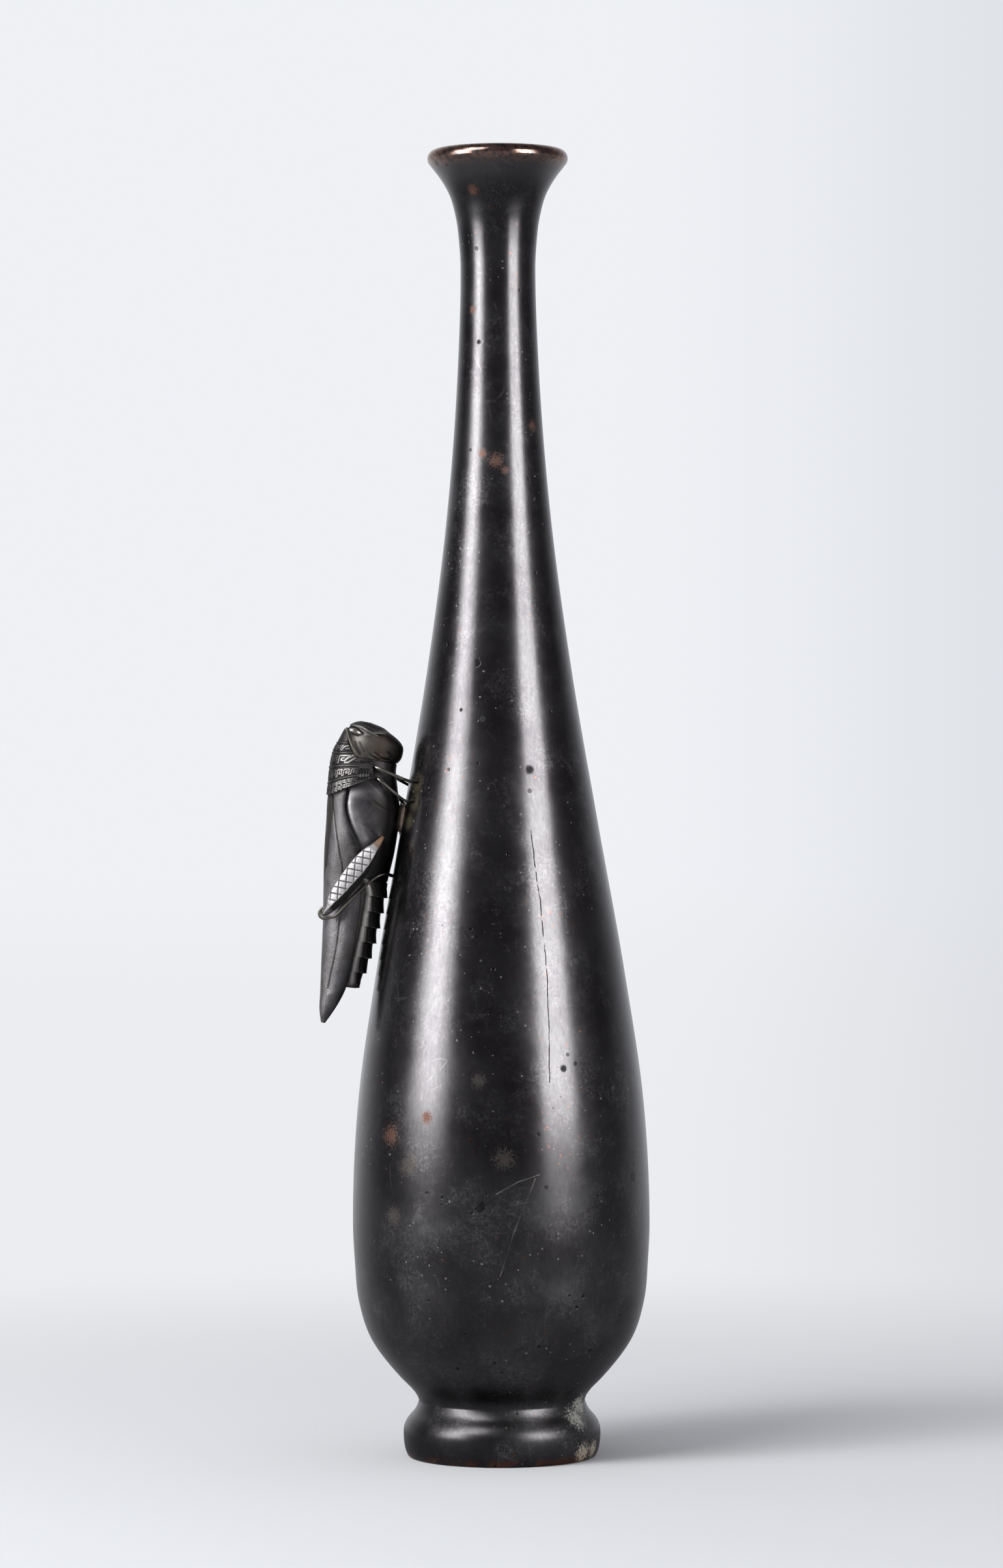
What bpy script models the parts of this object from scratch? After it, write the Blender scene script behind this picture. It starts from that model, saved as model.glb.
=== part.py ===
# Cast bronze bottle for one flower, with a life-size locust clinging to its side.
# Metres, +Z up. The origin is on the bottle's axis, at the plane it stands on.
# The locust sits on the -X side with its head up and its belly to the wall.

import math

import bmesh
import bpy
from mathutils import Matrix, Vector

for old in list(bpy.data.objects):
    bpy.data.objects.remove(old, do_unlink=True)

MM = 0.001

# Bottle, outside
BOTTLE_HEIGHT = 290.0 * MM
LIP_RADIUS = 15.6 * MM
LIP_ROLL = 1.95 * MM
NECK_RADIUS = 8.32 * MM
NECK_DEPTH = 26.7 * MM
BELLY_RADIUS = 32.97 * MM
BELLY_HEIGHT = 52.0 * MM
WAIST_RADIUS = 18.45 * MM
WAIST_HEIGHT = 12.5 * MM
FOOT_RADIUS = 21.88 * MM
FOOT_EDGE_HEIGHT = 5.1 * MM
FOOT_ROUNDING = 1.48 * MM

# Bottle, inside
WALL = 2.15 * MM
FOOT_RING_WIDTH = 2.4 * MM
PLATE_THICKNESS = 1.6 * MM
PLATE_RECESS = 1.2 * MM
PLATE_LEDGE = 1.9 * MM
PLATE_CHAMFER = 0.9 * MM

# Clearance kept between touching pieces
FIT = 0.3 * MM

# Locust: where it sits, and its main sizes
SEAT_HEIGHT = 142.3 * MM
REACH_UP = 7.7 * MM
REACH_DOWN = 38.3 * MM
BACK_HEIGHT = 16.85 * MM
BODY_WIDTH = 11.8 * MM
WING_THICKNESS = 0.6 * MM
COLLAR_THICKNESS = 0.85 * MM
COLLAR_LIP = 0.4 * MM
COLLAR_SIDE_EDGE = 8.0 * MM
ANTENNA_RADIUS = 0.26 * MM
BELLY_STEP = 0.7 * MM
SEAT_PIN_RADIUS = 1.3 * MM
SEAT_COLLAR_RADIUS = 2.3 * MM
SEAT_HEAD_RADIUS = 2.4 * MM
SEAT_HEAD_THICKNESS = 1.0 * MM
SEAT_SOCKET_DEPTH = 3.0 * MM

# Legs: wire sizes, and their holes in the bottle, up or down from the seat and off the middle
FORELEG_RADIUS = 0.35 * MM
FORELEG_HOLE_UP = 7.8 * MM
FORELEG_HOLE_SIDE = 9.2 * MM
MIDLEG_RADIUS = 0.30 * MM
MIDLEG_HOLE_UP = 3.5 * MM
MIDLEG_HOLE_SIDE = 9.0 * MM
LEG_SOCKET_DEPTH = 1.2 * MM
LEG_BEND_LIFT = 1.3 * MM
LEG_BEND_SIDE = 2.2 * MM
LEG_PAST_WALL = 1.2 * MM
LEFT_LEGS_LOWER = 1.0 * MM
TIBIA_RADIUS = 0.28 * MM
TIBIA_HOLE_DOWN = 13.4 * MM
TIBIA_HOLE_SIDE = 4.6 * MM
FEMUR_WIDTH = 3.95 * MM
FEMUR_THICKNESS = 2.6 * MM
KNEE_LOOP = 1.2 * MM
KNEE_PIN_RADIUS = 0.15 * MM
KNEE_PIN_PLAY = 0.2 * MM
KNEE_HEAD_RADIUS = 0.32 * MM
KNEE_HEAD_HEIGHT = 0.3 * MM

SIDES = {"right": 1.0, "left": -1.0}


# Smooth curves

def smooth(stations, x, level=(False, False)):
    """Height of a smooth curve through stations, without overshoot; level ends run flat."""
    pts = sorted(stations)
    if x <= pts[0][0]:
        return pts[0][1]
    if x >= pts[-1][0]:
        return pts[-1][1]
    spans = [b[0] - a[0] for a, b in zip(pts, pts[1:])]
    slopes = [(b[1] - a[1]) / span for a, b, span in zip(pts, pts[1:], spans)]
    tangents = [0.0 if level[0] else slopes[0]]
    for k in range(1, len(slopes)):
        before, after = slopes[k - 1], slopes[k]
        lean = (spans[k] * before + spans[k - 1] * after) / (spans[k] + spans[k - 1])
        limit = 3 * min(abs(before), abs(after))
        tangents.append(max(-limit, min(limit, lean)) if before * after > 0 else 0.0)
    tangents.append(0.0 if level[1] else slopes[-1])
    k = next(i for i in range(len(spans)) if x <= pts[i + 1][0])
    t = (x - pts[k][0]) / spans[k]
    return ((2 * t**3 - 3 * t**2 + 1) * pts[k][1]
            + (t**3 - 2 * t**2 + t) * spans[k] * tangents[k]
            + (3 * t**2 - 2 * t**3) * pts[k + 1][1]
            + (t**3 - t**2) * spans[k] * tangents[k + 1])


def sweep(points, steps):
    """Points along a smooth curve through the given 3D points."""
    pts = [Vector(p) for p in points]
    pts = [2 * pts[0] - pts[1]] + pts + [2 * pts[-1] - pts[-2]]
    out = []
    for a, b, c, d in zip(pts, pts[1:], pts[2:], pts[3:]):
        for k in range(steps):
            t = k / steps
            out.append(0.5 * (2 * b + (c - a) * t + (2 * a - 5 * b + 4 * c - d) * t**2
                              + (3 * b - a - 3 * c + d) * t**3))
    out.append(pts[-2])
    return out


# Bottle profile: each pair is a share of the way up and a share of the radius

FOOT_OGEE = ((0.0, 1.0), (0.31, 0.89), (0.47, 0.69), (0.70, 0.264), (0.865, 0.084), (1.0, 0.0))
BELLY_RISE = ((0.0, 0.0), (0.046, 0.064), (0.134, 0.29), (0.339, 0.714), (0.56, 0.914),
              (0.78, 0.973), (1.0, 1.0))
BODY_FALL = ((0.0, 1.0), (0.123, 0.952), (0.26, 0.786), (0.4245, 0.539), (0.576, 0.319),
             (0.74, 0.1325), (0.904, 0.025), (1.0, 0.0))
FLARE_RISE = ((0.0, 0.0), (0.25, 0.043), (0.50, 0.149), (0.74, 0.393), (0.90, 0.727), (1.0, 1.0))
FLARE_CORNER = math.radians(-45)
LIP_FACETS = 6

neck_height = BOTTLE_HEIGHT - NECK_DEPTH
lip_centre = (LIP_RADIUS - LIP_ROLL, BOTTLE_HEIGHT - LIP_ROLL)
flare_radius = lip_centre[0] + LIP_ROLL * math.cos(FLARE_CORNER)
flare_height = lip_centre[1] + LIP_ROLL * math.sin(FLARE_CORNER)


def outer_radius(z):
    """Outside radius of the bottle between the foot's edge and the lip."""
    if z < WAIST_HEIGHT:
        share = (z - FOOT_EDGE_HEIGHT) / (WAIST_HEIGHT - FOOT_EDGE_HEIGHT)
        return WAIST_RADIUS + (FOOT_RADIUS - WAIST_RADIUS) * smooth(FOOT_OGEE, share, (True, True))
    if z < BELLY_HEIGHT:
        share = (z - WAIST_HEIGHT) / (BELLY_HEIGHT - WAIST_HEIGHT)
        return WAIST_RADIUS + (BELLY_RADIUS - WAIST_RADIUS) * smooth(BELLY_RISE, share, (True, True))
    if z < neck_height:
        share = (z - BELLY_HEIGHT) / (neck_height - BELLY_HEIGHT)
        return NECK_RADIUS + (BELLY_RADIUS - NECK_RADIUS) * smooth(BODY_FALL, share, (True, True))
    share = (z - neck_height) / (flare_height - neck_height)
    return NECK_RADIUS + (flare_radius - NECK_RADIUS) * smooth(FLARE_RISE, share, (True, False))


def inner_radius(z):
    """Inside radius: the wall's thickness is kept square to its slope."""
    step = 0.5 * MM
    slope = (outer_radius(z + step) - outer_radius(z - step)) / (2 * step)
    return outer_radius(z) - WALL * math.sqrt(1 + slope**2)


def heights(low, high, count, ease):
    """Heights from low to high, closer together near low where ease is above 1."""
    return [low + (high - low) * (k / count) ** ease for k in range(count + 1)]


def bottle_profile():
    """Closed outline (radius, height), up the outside and down the inside."""
    plate_seat = PLATE_RECESS + PLATE_THICKNESS + FIT
    foot_flat = FOOT_RADIUS - FOOT_ROUNDING
    rebate = foot_flat - FOOT_RING_WIDTH
    points = [(rebate, 0.0)]
    for degrees in (0, 22.5, 45, 67.5, 90):
        turn = math.radians(degrees)
        points.append((foot_flat + FOOT_ROUNDING * math.sin(turn),
                       FOOT_EDGE_HEIGHT * (1 - math.cos(turn))))
    for z in heights(FOOT_EDGE_HEIGHT, WAIST_HEIGHT, 5, 1.0)[1:]:
        points.append((outer_radius(z), z))
    for z in heights(WAIST_HEIGHT, BELLY_HEIGHT, 8, 1.6)[1:]:
        points.append((outer_radius(z), z))
    for z in heights(BELLY_HEIGHT, neck_height, 12, 1.0)[1:]:
        points.append((outer_radius(z), z))
    for z in heights(flare_height, neck_height, 5, 1.3)[-2::-1]:
        points.append((outer_radius(z), z))
    for k in range(1, LIP_FACETS + 1):
        turn = FLARE_CORNER + (math.pi - FLARE_CORNER) * k / LIP_FACETS
        points.append((lip_centre[0] + LIP_ROLL * math.cos(turn),
                       lip_centre[1] + LIP_ROLL * math.sin(turn)))
    mouth = lip_centre[0] - LIP_ROLL
    throat = NECK_RADIUS - WALL
    for z in heights(lip_centre[1], neck_height, 4, 1.2)[1:]:
        share = (z - neck_height) / (lip_centre[1] - neck_height)
        points.append((throat + (mouth - throat) * smooth(FLARE_RISE, share, (True, False)), z))
    for z in heights(neck_height, BELLY_HEIGHT, 6, 1.0)[1:]:
        points.append((inner_radius(z), z))
    for z in heights(WAIST_HEIGHT + WALL, BELLY_HEIGHT, 5, 1.5)[-2::-1]:
        points.append((inner_radius(z), z))
    points.append((min(rebate - PLATE_LEDGE, inner_radius(WAIST_HEIGHT)), plate_seat))
    points.append((rebate, plate_seat))
    return points


# Locust outline. Each row is a place along the body in mm, up from the seat, and there
# the height over the wall of its belly or back, its half width, or an edge's height or place.

CHEST_LINE = ((19.25, 11.0), (18.6, 8.0), (17.7, 6.2), (16.6, 4.2), (15.3, 2.75), (13.7, 2.35),
              (12.1, 2.6), (10.9, 3.25), (9.5, 3.2), (7.7, 2.75), (4.2, 1.75), (1.6, 1.0),
              (-2.1, 0.6), (-7.9, 0.5), (-12.4, 0.75), (-16.7, 1.05), (-23.9, 1.45), (-29.9, 2.0),
              (-35.1, 2.75), (-39.6, 4.1), (-42.9, 6.0), (-46.4, 7.8), (-48.3, 9.05))
BACK_LINE = ((19.25, 12.6), (18.75, 13.9), (17.9, 14.95), (16.9, 15.3), (14.8, 15.8),
             (11.6, 16.7), (8.1, 16.85), (5.1, 16.65), (2.1, 16.45), (-3.3, 15.75), (-10.5, 15.0),
             (-17.7, 13.95), (-26.2, 12.65), (-35.9, 11.4), (-41.9, 10.6), (-45.5, 10.15),
             (-48.3, 9.35))
WIDTH_LINE = ((19.25, 1.6), (18.7, 2.9), (17.8, 3.9), (16.3, 4.6), (14.1, 5.0), (11.0, 5.3),
              (8.0, 5.6), (3.0, 5.9), (-4.0, 5.9), (-10.0, 5.6), (-15.0, 5.1), (-20.0, 4.7),
              (-25.0, 4.4), (-30.0, 4.0), (-35.0, 3.3), (-39.6, 2.4), (-43.5, 1.6), (-48.3, 0.6))
WING_EDGE = ((3.4, 13.25), (0.2, 13.1), (-1.9, 12.4), (-3.9, 11.35), (-5.5, 10.25), (-7.1, 9.05),
             (-9.1, 7.95), (-12.9, 6.9), (-18.4, 6.15), (-25.5, 5.65), (-32.7, 5.75), (-36.9, 5.85),
             (-39.9, 6.1), (-43.4, 7.1), (-46.4, 8.4), (-48.3, 9.35))
COLLAR_FRONT = ((10.6, 10.5), (12.0, 10.9), (14.3, 13.3), (15.4, 16.1), (16.2, 17.3))
COLLAR_REAR = ((7.9, 7.2), (11.1, 5.4), (13.5, 3.9), (16.2, 2.1), (17.3, 1.8))
NECK_PLANE = 11.0
WAIST_PLANE = -15.1
BODY_END = -39.6
WING_END = -48.3
ROUNDNESS = 2.2

back_scale = BACK_HEIGHT / max(height for _, height in BACK_LINE)
width_scale = BODY_WIDTH / 2 / max(width for _, width in WIDTH_LINE)

# The body lies along the chord of the wall between two points, so it follows its slope.
wall_up = Vector((-outer_radius(SEAT_HEIGHT + REACH_UP), 0, SEAT_HEIGHT + REACH_UP))
wall_down = Vector((-outer_radius(SEAT_HEIGHT - REACH_DOWN), 0, SEAT_HEIGHT - REACH_DOWN))
seat = Vector((-outer_radius(SEAT_HEIGHT), 0, SEAT_HEIGHT))
along = (wall_up - wall_down).normalized()
outward = Vector((-along.z, 0, along.x))
lateral = Vector((0, -1, 0))


def place(s, d, w):
    """World point s along the body, d out from the wall and w to the right."""
    return seat + along * s + outward * d + lateral * w


def section(s):
    """Middle, half depth and half width of the body at a place along it."""
    low = smooth(CHEST_LINE, s) * MM
    high = smooth(BACK_LINE, s) * back_scale
    return (low + high) / 2, (high - low) / 2, smooth(WIDTH_LINE, s) * width_scale


def skin(s, turn, lift):
    """Point (d, w) on the body's outline, lifted off it; turn 0 is the right side."""
    middle, deep, wide = section(s)
    c, q = math.cos(turn), math.sin(turn)
    d = middle + math.copysign(abs(q) ** (2 / ROUNDNESS), q) * (deep + lift)
    w = math.copysign(abs(c) ** (2 / ROUNDNESS), c) * (wide + lift)
    return d, w


def side_width(s, d, lift):
    """Half width of the outline at a height d over the wall."""
    middle, deep, wide = section(s)
    rest = 1 - min(1.0, abs((d - middle) / (deep + lift))) ** ROUNDNESS
    return (wide + lift) * rest ** (1 / ROUNDNESS)


def turn_at(s, d, lift):
    """Turn about the body where its lifted outline is at height d."""
    middle, deep, _ = section(s)
    share = max(-1.0, min(1.0, (d - middle) / (deep + lift)))
    return math.asin(math.copysign(abs(share) ** (ROUNDNESS / 2), share))


def wall_point(z, side, lift):
    """Point beside the bottle's outside at a height, side metres off the middle."""
    r = outer_radius(z) + lift
    return Vector((-math.sqrt(r**2 - side**2), -side, z))


# Building blocks

BOTTLE_STEPS = 48
DRILL_FACETS = 16
WIRE_RESOLUTION = 1
SHARP_ANGLE = math.radians(45)


def face_out(bm):
    """Turn a closed shape's faces outwards."""
    if bm.calc_volume(signed=True) < 0:
        bmesh.ops.reverse_faces(bm, faces=bm.faces)


def finish(name, bm, material):
    """Turn a bmesh into an object with outward faces and smooth shading."""
    bmesh.ops.recalc_face_normals(bm, faces=bm.faces)
    face_out(bm)
    mesh = bpy.data.meshes.new(name)
    bm.to_mesh(mesh)
    bm.free()
    mesh.shade_smooth()
    mesh.set_sharp_from_angle(angle=SHARP_ANGLE)
    obj = bpy.data.objects.new(name, mesh)
    mesh.materials.append(material)
    bpy.context.scene.collection.objects.link(obj)
    return obj


def finish_material(name, colour, roughness, metallic):
    """Metal finish of one piece."""
    material = bpy.data.materials.new(name)
    material.use_nodes = True
    shader = material.node_tree.nodes["Principled BSDF"]
    shader.inputs["Base Color"].default_value = (*colour, 1)
    shader.inputs["Roughness"].default_value = roughness
    shader.inputs["Metallic"].default_value = metallic
    return material


def turned(name, outline, material):
    """Ring or vessel made by turning a closed outline about the bottle's axis."""
    bm = bmesh.new()
    verts = [bm.verts.new((r, 0, z)) for r, z in outline]
    edges = [bm.edges.new(pair) for pair in zip(verts, verts[1:] + verts[:1])]
    bmesh.ops.spin(bm, geom=verts + edges, axis=(0, 0, 1), cent=(0, 0, 0), dvec=(0, 0, 0),
                   angle=math.tau, steps=BOTTLE_STEPS, use_merge=True, use_duplicate=False)
    return finish(name, bm, material)


def lofted(name, rings, material):
    """Closed body through rings of points, with a flat face at each end."""
    bm = bmesh.new()
    loops = [[bm.verts.new(p) for p in ring] for ring in rings]
    for a, b in zip(loops, loops[1:]):
        for i, vert in enumerate(a):
            j = (i + 1) % len(a)
            bm.faces.new((vert, a[j], b[j], b[i]))
    bm.faces.new(loops[0])
    bm.faces.new(loops[-1])
    return finish(name, bm, material)


def shell_patch(name, outside, inside, material):
    """Closed curved plate between an outer and an inner grid of points."""
    bm = bmesh.new()
    grids = [[[bm.verts.new(p) for p in row] for row in grid] for grid in (outside, inside)]
    rows, cols = len(outside), len(outside[0])
    for grid in grids:
        for i in range(rows - 1):
            for j in range(cols - 1):
                bm.faces.new((grid[i][j], grid[i + 1][j], grid[i + 1][j + 1], grid[i][j + 1]))
    rim = [(0, j) for j in range(cols)] + [(i, cols - 1) for i in range(1, rows)]
    rim += [(rows - 1, j) for j in range(cols - 2, -1, -1)] + [(i, 0) for i in range(rows - 2, 0, -1)]
    top, under = grids
    for (i, j), (k, m) in zip(rim, rim[1:] + rim[:1]):
        bm.faces.new((top[i][j], top[k][m], under[k][m], under[i][j]))
    return finish(name, bm, material)


def wire(name, points, radii, material):
    """Bent wire with closed ends; radii may change along it."""
    curve = bpy.data.curves.new(name, "CURVE")
    curve.dimensions = "3D"
    spline = curve.splines.new("POLY")
    spline.points.add(len(points) - 1)
    for point, co, radius in zip(spline.points, points, radii):
        point.co = (*co, 1)
        point.radius = radius
    curve.bevel_depth = 1.0
    curve.bevel_resolution = WIRE_RESOLUTION
    curve.use_fill_caps = True
    curve.materials.append(material)
    obj = bpy.data.objects.new(name, curve)
    bpy.context.scene.collection.objects.link(obj)
    return obj


def rod(start, end, radius):
    """Straight round rod between two points, the shape of a drilled hole."""
    axis = end - start
    bm = bmesh.new()
    bmesh.ops.create_cone(bm, cap_ends=True, segments=DRILL_FACETS, radius1=radius,
                          radius2=radius, depth=axis.length)
    turn = axis.to_track_quat("Z", "Y").to_matrix().to_4x4()
    bm.transform(Matrix.Translation((start + end) / 2) @ turn)
    return bm


def cut(target, name, bm):
    """Take a shape away from a piece."""
    mesh = bpy.data.meshes.new(name)
    bm.to_mesh(mesh)
    bm.free()
    tool = bpy.data.objects.new(name, mesh)
    tool.hide_render = True
    tool.display_type = "WIRE"
    bpy.context.scene.collection.objects.link(tool)
    boolean = target.modifiers.new(name, "BOOLEAN")
    boolean.operation = "DIFFERENCE"
    boolean.solver = "EXACT"
    boolean.object = tool


body_metal = finish_material("body_patina", (0.075, 0.070, 0.068), 0.38, 0.85)
plate_metal = finish_material("plate_patina", (0.10, 0.085, 0.07), 0.5, 0.8)
solder_metal = finish_material("solder", (0.28, 0.27, 0.25), 0.55, 0.8)
locust_metal = finish_material("locust_patina", (0.10, 0.095, 0.095), 0.42, 0.85)
collar_metal = finish_material("collar_patina", (0.11, 0.105, 0.10), 0.4, 0.85)
wing_metal = finish_material("wing_patina", (0.12, 0.115, 0.115), 0.36, 0.85)
eye_metal = finish_material("eye_polish", (0.35, 0.33, 0.31), 0.25, 0.9)
wire_metal = finish_material("dull_wire", (0.30, 0.27, 0.22), 0.4, 0.9)
leg_metal = finish_material("worn_wire", (0.42, 0.40, 0.37), 0.3, 0.95)

# Bottle, with its base plate let into the foot and the bead of solder in the plate's chamfer

shell = turned("bottle_shell", bottle_profile(), body_metal)

plate_radius = FOOT_RADIUS - FOOT_ROUNDING - FOOT_RING_WIDTH - FIT


def plate_ring(radius, z):
    """Ring of points on the base plate's edge."""
    turns = [math.tau * k / BOTTLE_STEPS for k in range(BOTTLE_STEPS)]
    return [Vector((radius * math.cos(turn), radius * math.sin(turn), z)) for turn in turns]


lofted("base_disc", [plate_ring(plate_radius - PLATE_CHAMFER, PLATE_RECESS),
                     plate_ring(plate_radius, PLATE_RECESS + PLATE_CHAMFER),
                     plate_ring(plate_radius, PLATE_RECESS + PLATE_THICKNESS)], plate_metal)

bead_leg = PLATE_CHAMFER - FIT * math.sqrt(2)
turned("base_solder", [(plate_radius, PLATE_RECESS + bead_leg),
                       (plate_radius - bead_leg, PLATE_RECESS),
                       (plate_radius, PLATE_RECESS)], solder_metal)

# Locust body: chest, belly and head are lofted through rings across the body

BODY_FACETS = 20
CHEST_ROWS = (NECK_PLANE, 9.4, 7.6, 5.8, 4.0, 2.0, 0.0, -2.5, -5.0, -8.0, -11.0, -13.2,
              WAIST_PLANE)
HEAD_ROWS = (NECK_PLANE + FIT / MM, 12.1, 13.6, 15.2, 16.5, 17.5, 18.25, 18.8, 19.15)
BELLY_PLATES = 7
PLATE_DRAW_IN = 0.5
HEM_SHARE = 0.1


def body_ring(s, flare=0.0):
    """Ring of points round the body; flare pushes its belly side towards the wall."""
    points = []
    for k in range(BODY_FACETS):
        turn = math.tau * k / BODY_FACETS
        d, w = skin(s, turn, 0.0)
        points.append(place(s * MM, d - flare * max(0.0, -math.sin(turn)) ** 1.5, w))
    return points


thorax = lofted("locust_thorax", [body_ring(s) for s in CHEST_ROWS], locust_metal)
head = lofted("locust_head", [body_ring(s) for s in HEAD_ROWS], locust_metal)

# The belly plates overlap towards the tail, each one flaring to a step.
abdomen_start = WAIST_PLANE - FIT / MM
plate_length = (abdomen_start - BODY_END) / BELLY_PLATES
abdomen_rings = []
for k in range(BELLY_PLATES):
    front = abdomen_start - k * plate_length
    abdomen_rings.append(body_ring(front, BELLY_STEP * HEM_SHARE))
    abdomen_rings.append(body_ring(front - plate_length + PLATE_DRAW_IN, BELLY_STEP))
abdomen_rings.append(body_ring(BODY_END))
lofted("locust_abdomen", abdomen_rings, locust_metal)

# Collar plate: a saddle over the neck and the wing roots, thinner at its front lip

COLLAR_ROWS = 8
COLLAR_COLS = 16
LIP_START = 0.6
COLLAR_MIDDLE = 8.0
SETTLE_TURNS = 6


def collar_grid(share_out):
    """Grid on the collar's outer (1) or inner (0) face, from its rear edge to its front."""
    grid = []
    for i in range(COLLAR_ROWS + 1):
        t = i / COLLAR_ROWS
        thinning = max(0.0, (t - LIP_START) / (1 - LIP_START)) ** 2
        lift = FIT + (COLLAR_THICKNESS + (COLLAR_LIP - COLLAR_THICKNESS) * thinning) * share_out
        low = turn_at(COLLAR_MIDDLE, COLLAR_SIDE_EDGE, lift)
        row = []
        for j in range(COLLAR_COLS + 1):
            turn = low + (math.pi - 2 * low) * j / COLLAR_COLS
            s = COLLAR_MIDDLE
            for _ in range(SETTLE_TURNS):
                d, w = skin(s, turn, lift)
                rear = smooth(COLLAR_REAR, d / MM)
                s = rear + (smooth(COLLAR_FRONT, d / MM) - rear) * t
            row.append(place(s * MM, d, w))
        grid.append(row)
    return grid


shell_patch("locust_pronotum", collar_grid(1.0), collar_grid(0.0), collar_metal)

# Folded wings: long plates from the collar to the tip, meeting along the back

WING_ROWS = 14
WING_COLS = 7


def wing_grid(side, share_out):
    """Grid on a wing's outer (1) or inner (0) face, from its root to its tip."""
    lift = FIT + WING_THICKNESS * share_out
    grid = []
    for i in range(WING_ROWS + 1):
        t = i / WING_ROWS
        row = []
        for j in range(WING_COLS + 1):
            s = 0.0
            for _ in range(SETTLE_TURNS):
                low = turn_at(s, smooth(WING_EDGE, s) * MM, lift)
                turn = math.pi / 2 + (low - math.pi / 2) * j / WING_COLS
                d, w = skin(s, turn, lift)
                root = smooth(COLLAR_REAR, d / MM) - FIT / MM
                s = root + (WING_END - root) * t
            row.append(place(s * MM, d, side * max(w, FIT / 2)))
        grid.append(row)
    return grid


for label, side in SIDES.items():
    shell_patch("forewing_" + label, wing_grid(side, 1.0), wing_grid(side, 0.0), wing_metal)

# Eyes: almond beads, each let into a socket in the head

EYE_PLACE = (16.6, 13.45)
EYE_ACROSS = 0.75 * MM
EYE_ALONG = 1.5 * MM
EYE_BULGE = 0.8 * MM
EYE_TILT = math.radians(12)


def eye_shape(side, grow):
    """Almond on the side of the head, grown by the clearance where it is the socket."""
    s, d = EYE_PLACE
    eye = bmesh.new()
    bmesh.ops.create_uvsphere(eye, u_segments=12, v_segments=8, radius=1.0)
    axes = Matrix((along, outward, lateral * side)).transposed().to_4x4()
    size = Matrix.Diagonal((EYE_ACROSS + grow, EYE_ALONG + grow, EYE_BULGE + grow, 1))
    centre = place(s * MM, d * MM, side * side_width(s, d * MM, 0.0))
    eye.transform(Matrix.Translation(centre) @ axes @ Matrix.Rotation(-EYE_TILT, 4, "Z") @ size)
    face_out(eye)
    return eye


for label, side in SIDES.items():
    finish("eye_" + label, eye_shape(side, 0.0), eye_metal)
    cut(head, "eye_socket_" + label, eye_shape(side, FIT))

# Antennae: wires laid back along the seam between head and collar

ANTENNA_ROUTE = ((17.1, 15.5), (15.7, 14.95), (13.9, 14.0), (12.3, 12.7), (11.2, 11.4))
ANTENNA_ROOT_SIDE = 1.0 * MM
ANTENNA_TAPER = 0.45

antenna_lift = FIT + COLLAR_LIP + FIT + ANTENNA_RADIUS
for label, side in SIDES.items():
    route = []
    for s, d in ANTENNA_ROUTE:
        width = max(ANTENNA_ROOT_SIDE, side_width(s, d * MM, antenna_lift))
        route.append(place(s * MM, d * MM, side * width))
    points = sweep(route, 4)
    radii = [ANTENNA_RADIUS * (1 - ANTENNA_TAPER * k / len(points)) for k in range(len(points))]
    wire("antenna_" + label, points, radii, wire_metal)

# Fore and middle legs: bent wires from sockets in the chest to holes in the bottle

FORELEG_ROOT = (9.8, 8.0)
MIDLEG_ROOT = (7.2, 7.1)
LEG_TURN_IN = 0.6
LEG_STUB = 0.5 * MM
LEG_CLEAR_DOWN = 0.3
LEG_CLEAR_IN = 0.9


def leg(name, label, root, radius, hole_up, hole_side):
    """Wire leg with its socket in the chest and its hole in the bottle."""
    side = SIDES[label]
    s, d = root
    width = side_width(s, d * MM, 0.0)
    height = SEAT_HEIGHT + hole_up - (LEFT_LEGS_LOWER if label == "left" else 0.0)
    socket_end = place(s * MM, d * MM, side * (width - LEG_SOCKET_DEPTH))
    root_end = place(s * MM, d * MM, side * (width - LEG_SOCKET_DEPTH + FIT))
    clear = place((s - LEG_CLEAR_DOWN) * MM, (d - LEG_CLEAR_IN) * MM,
                  side * (width + radius + 2 * FIT))
    hole = wall_point(height, side * hole_side, 0.0)
    bend = wall_point(height, side * (hole_side - LEG_BEND_SIDE), LEG_BEND_LIFT)
    inward = Vector((-hole.x, -hole.y, 0)).normalized()
    into = (inward + (hole - bend).normalized() * LEG_TURN_IN).normalized()
    reach = (WALL + LEG_PAST_WALL) / inward.dot(into)
    points = sweep([root_end, clear, bend, hole - into * LEG_STUB], 5)
    points.append(hole + into * reach)
    wire(name + "_" + label, points, [radius] * len(points), leg_metal)
    cut(shell, name + "_hole", rod(hole - into * reach, hole + into * reach * 1.5, radius + FIT))
    cut(thorax, name + "_socket", rod(socket_end, clear, radius + FIT))


for label in SIDES:
    leg("foreleg", label, FORELEG_ROOT, FORELEG_RADIUS, FORELEG_HOLE_UP, FORELEG_HOLE_SIDE)
    leg("midleg", label, MIDLEG_ROOT, MIDLEG_RADIUS, MIDLEG_HOLE_UP, MIDLEG_HOLE_SIDE)

# Hind thighs: flat spindles from the hip to the knee, which the shin's wire loops round.
# Each shape row is a share of the length, then of the width above and below the middle.

HIP = (-5.2, 3.4)
KNEE = (-24.1, 13.4)
FEMUR_SHAPE = ((0.0, 0.09, 0.09), (0.10, 0.22, 0.22), (0.24, 0.47, 0.42), (0.44, 0.58, 0.58),
               (0.61, 0.57, 0.55), (0.76, 0.50, 0.47), (0.87, 0.36, 0.40))
FEMUR_FACETS = 14
FEMUR_SEATED = 0.62
FEMUR_OVER_WING = 0.12
FEMUR_THIN_END = 0.3
KNEE_DRAW_IN = 0.5 * MM

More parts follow.
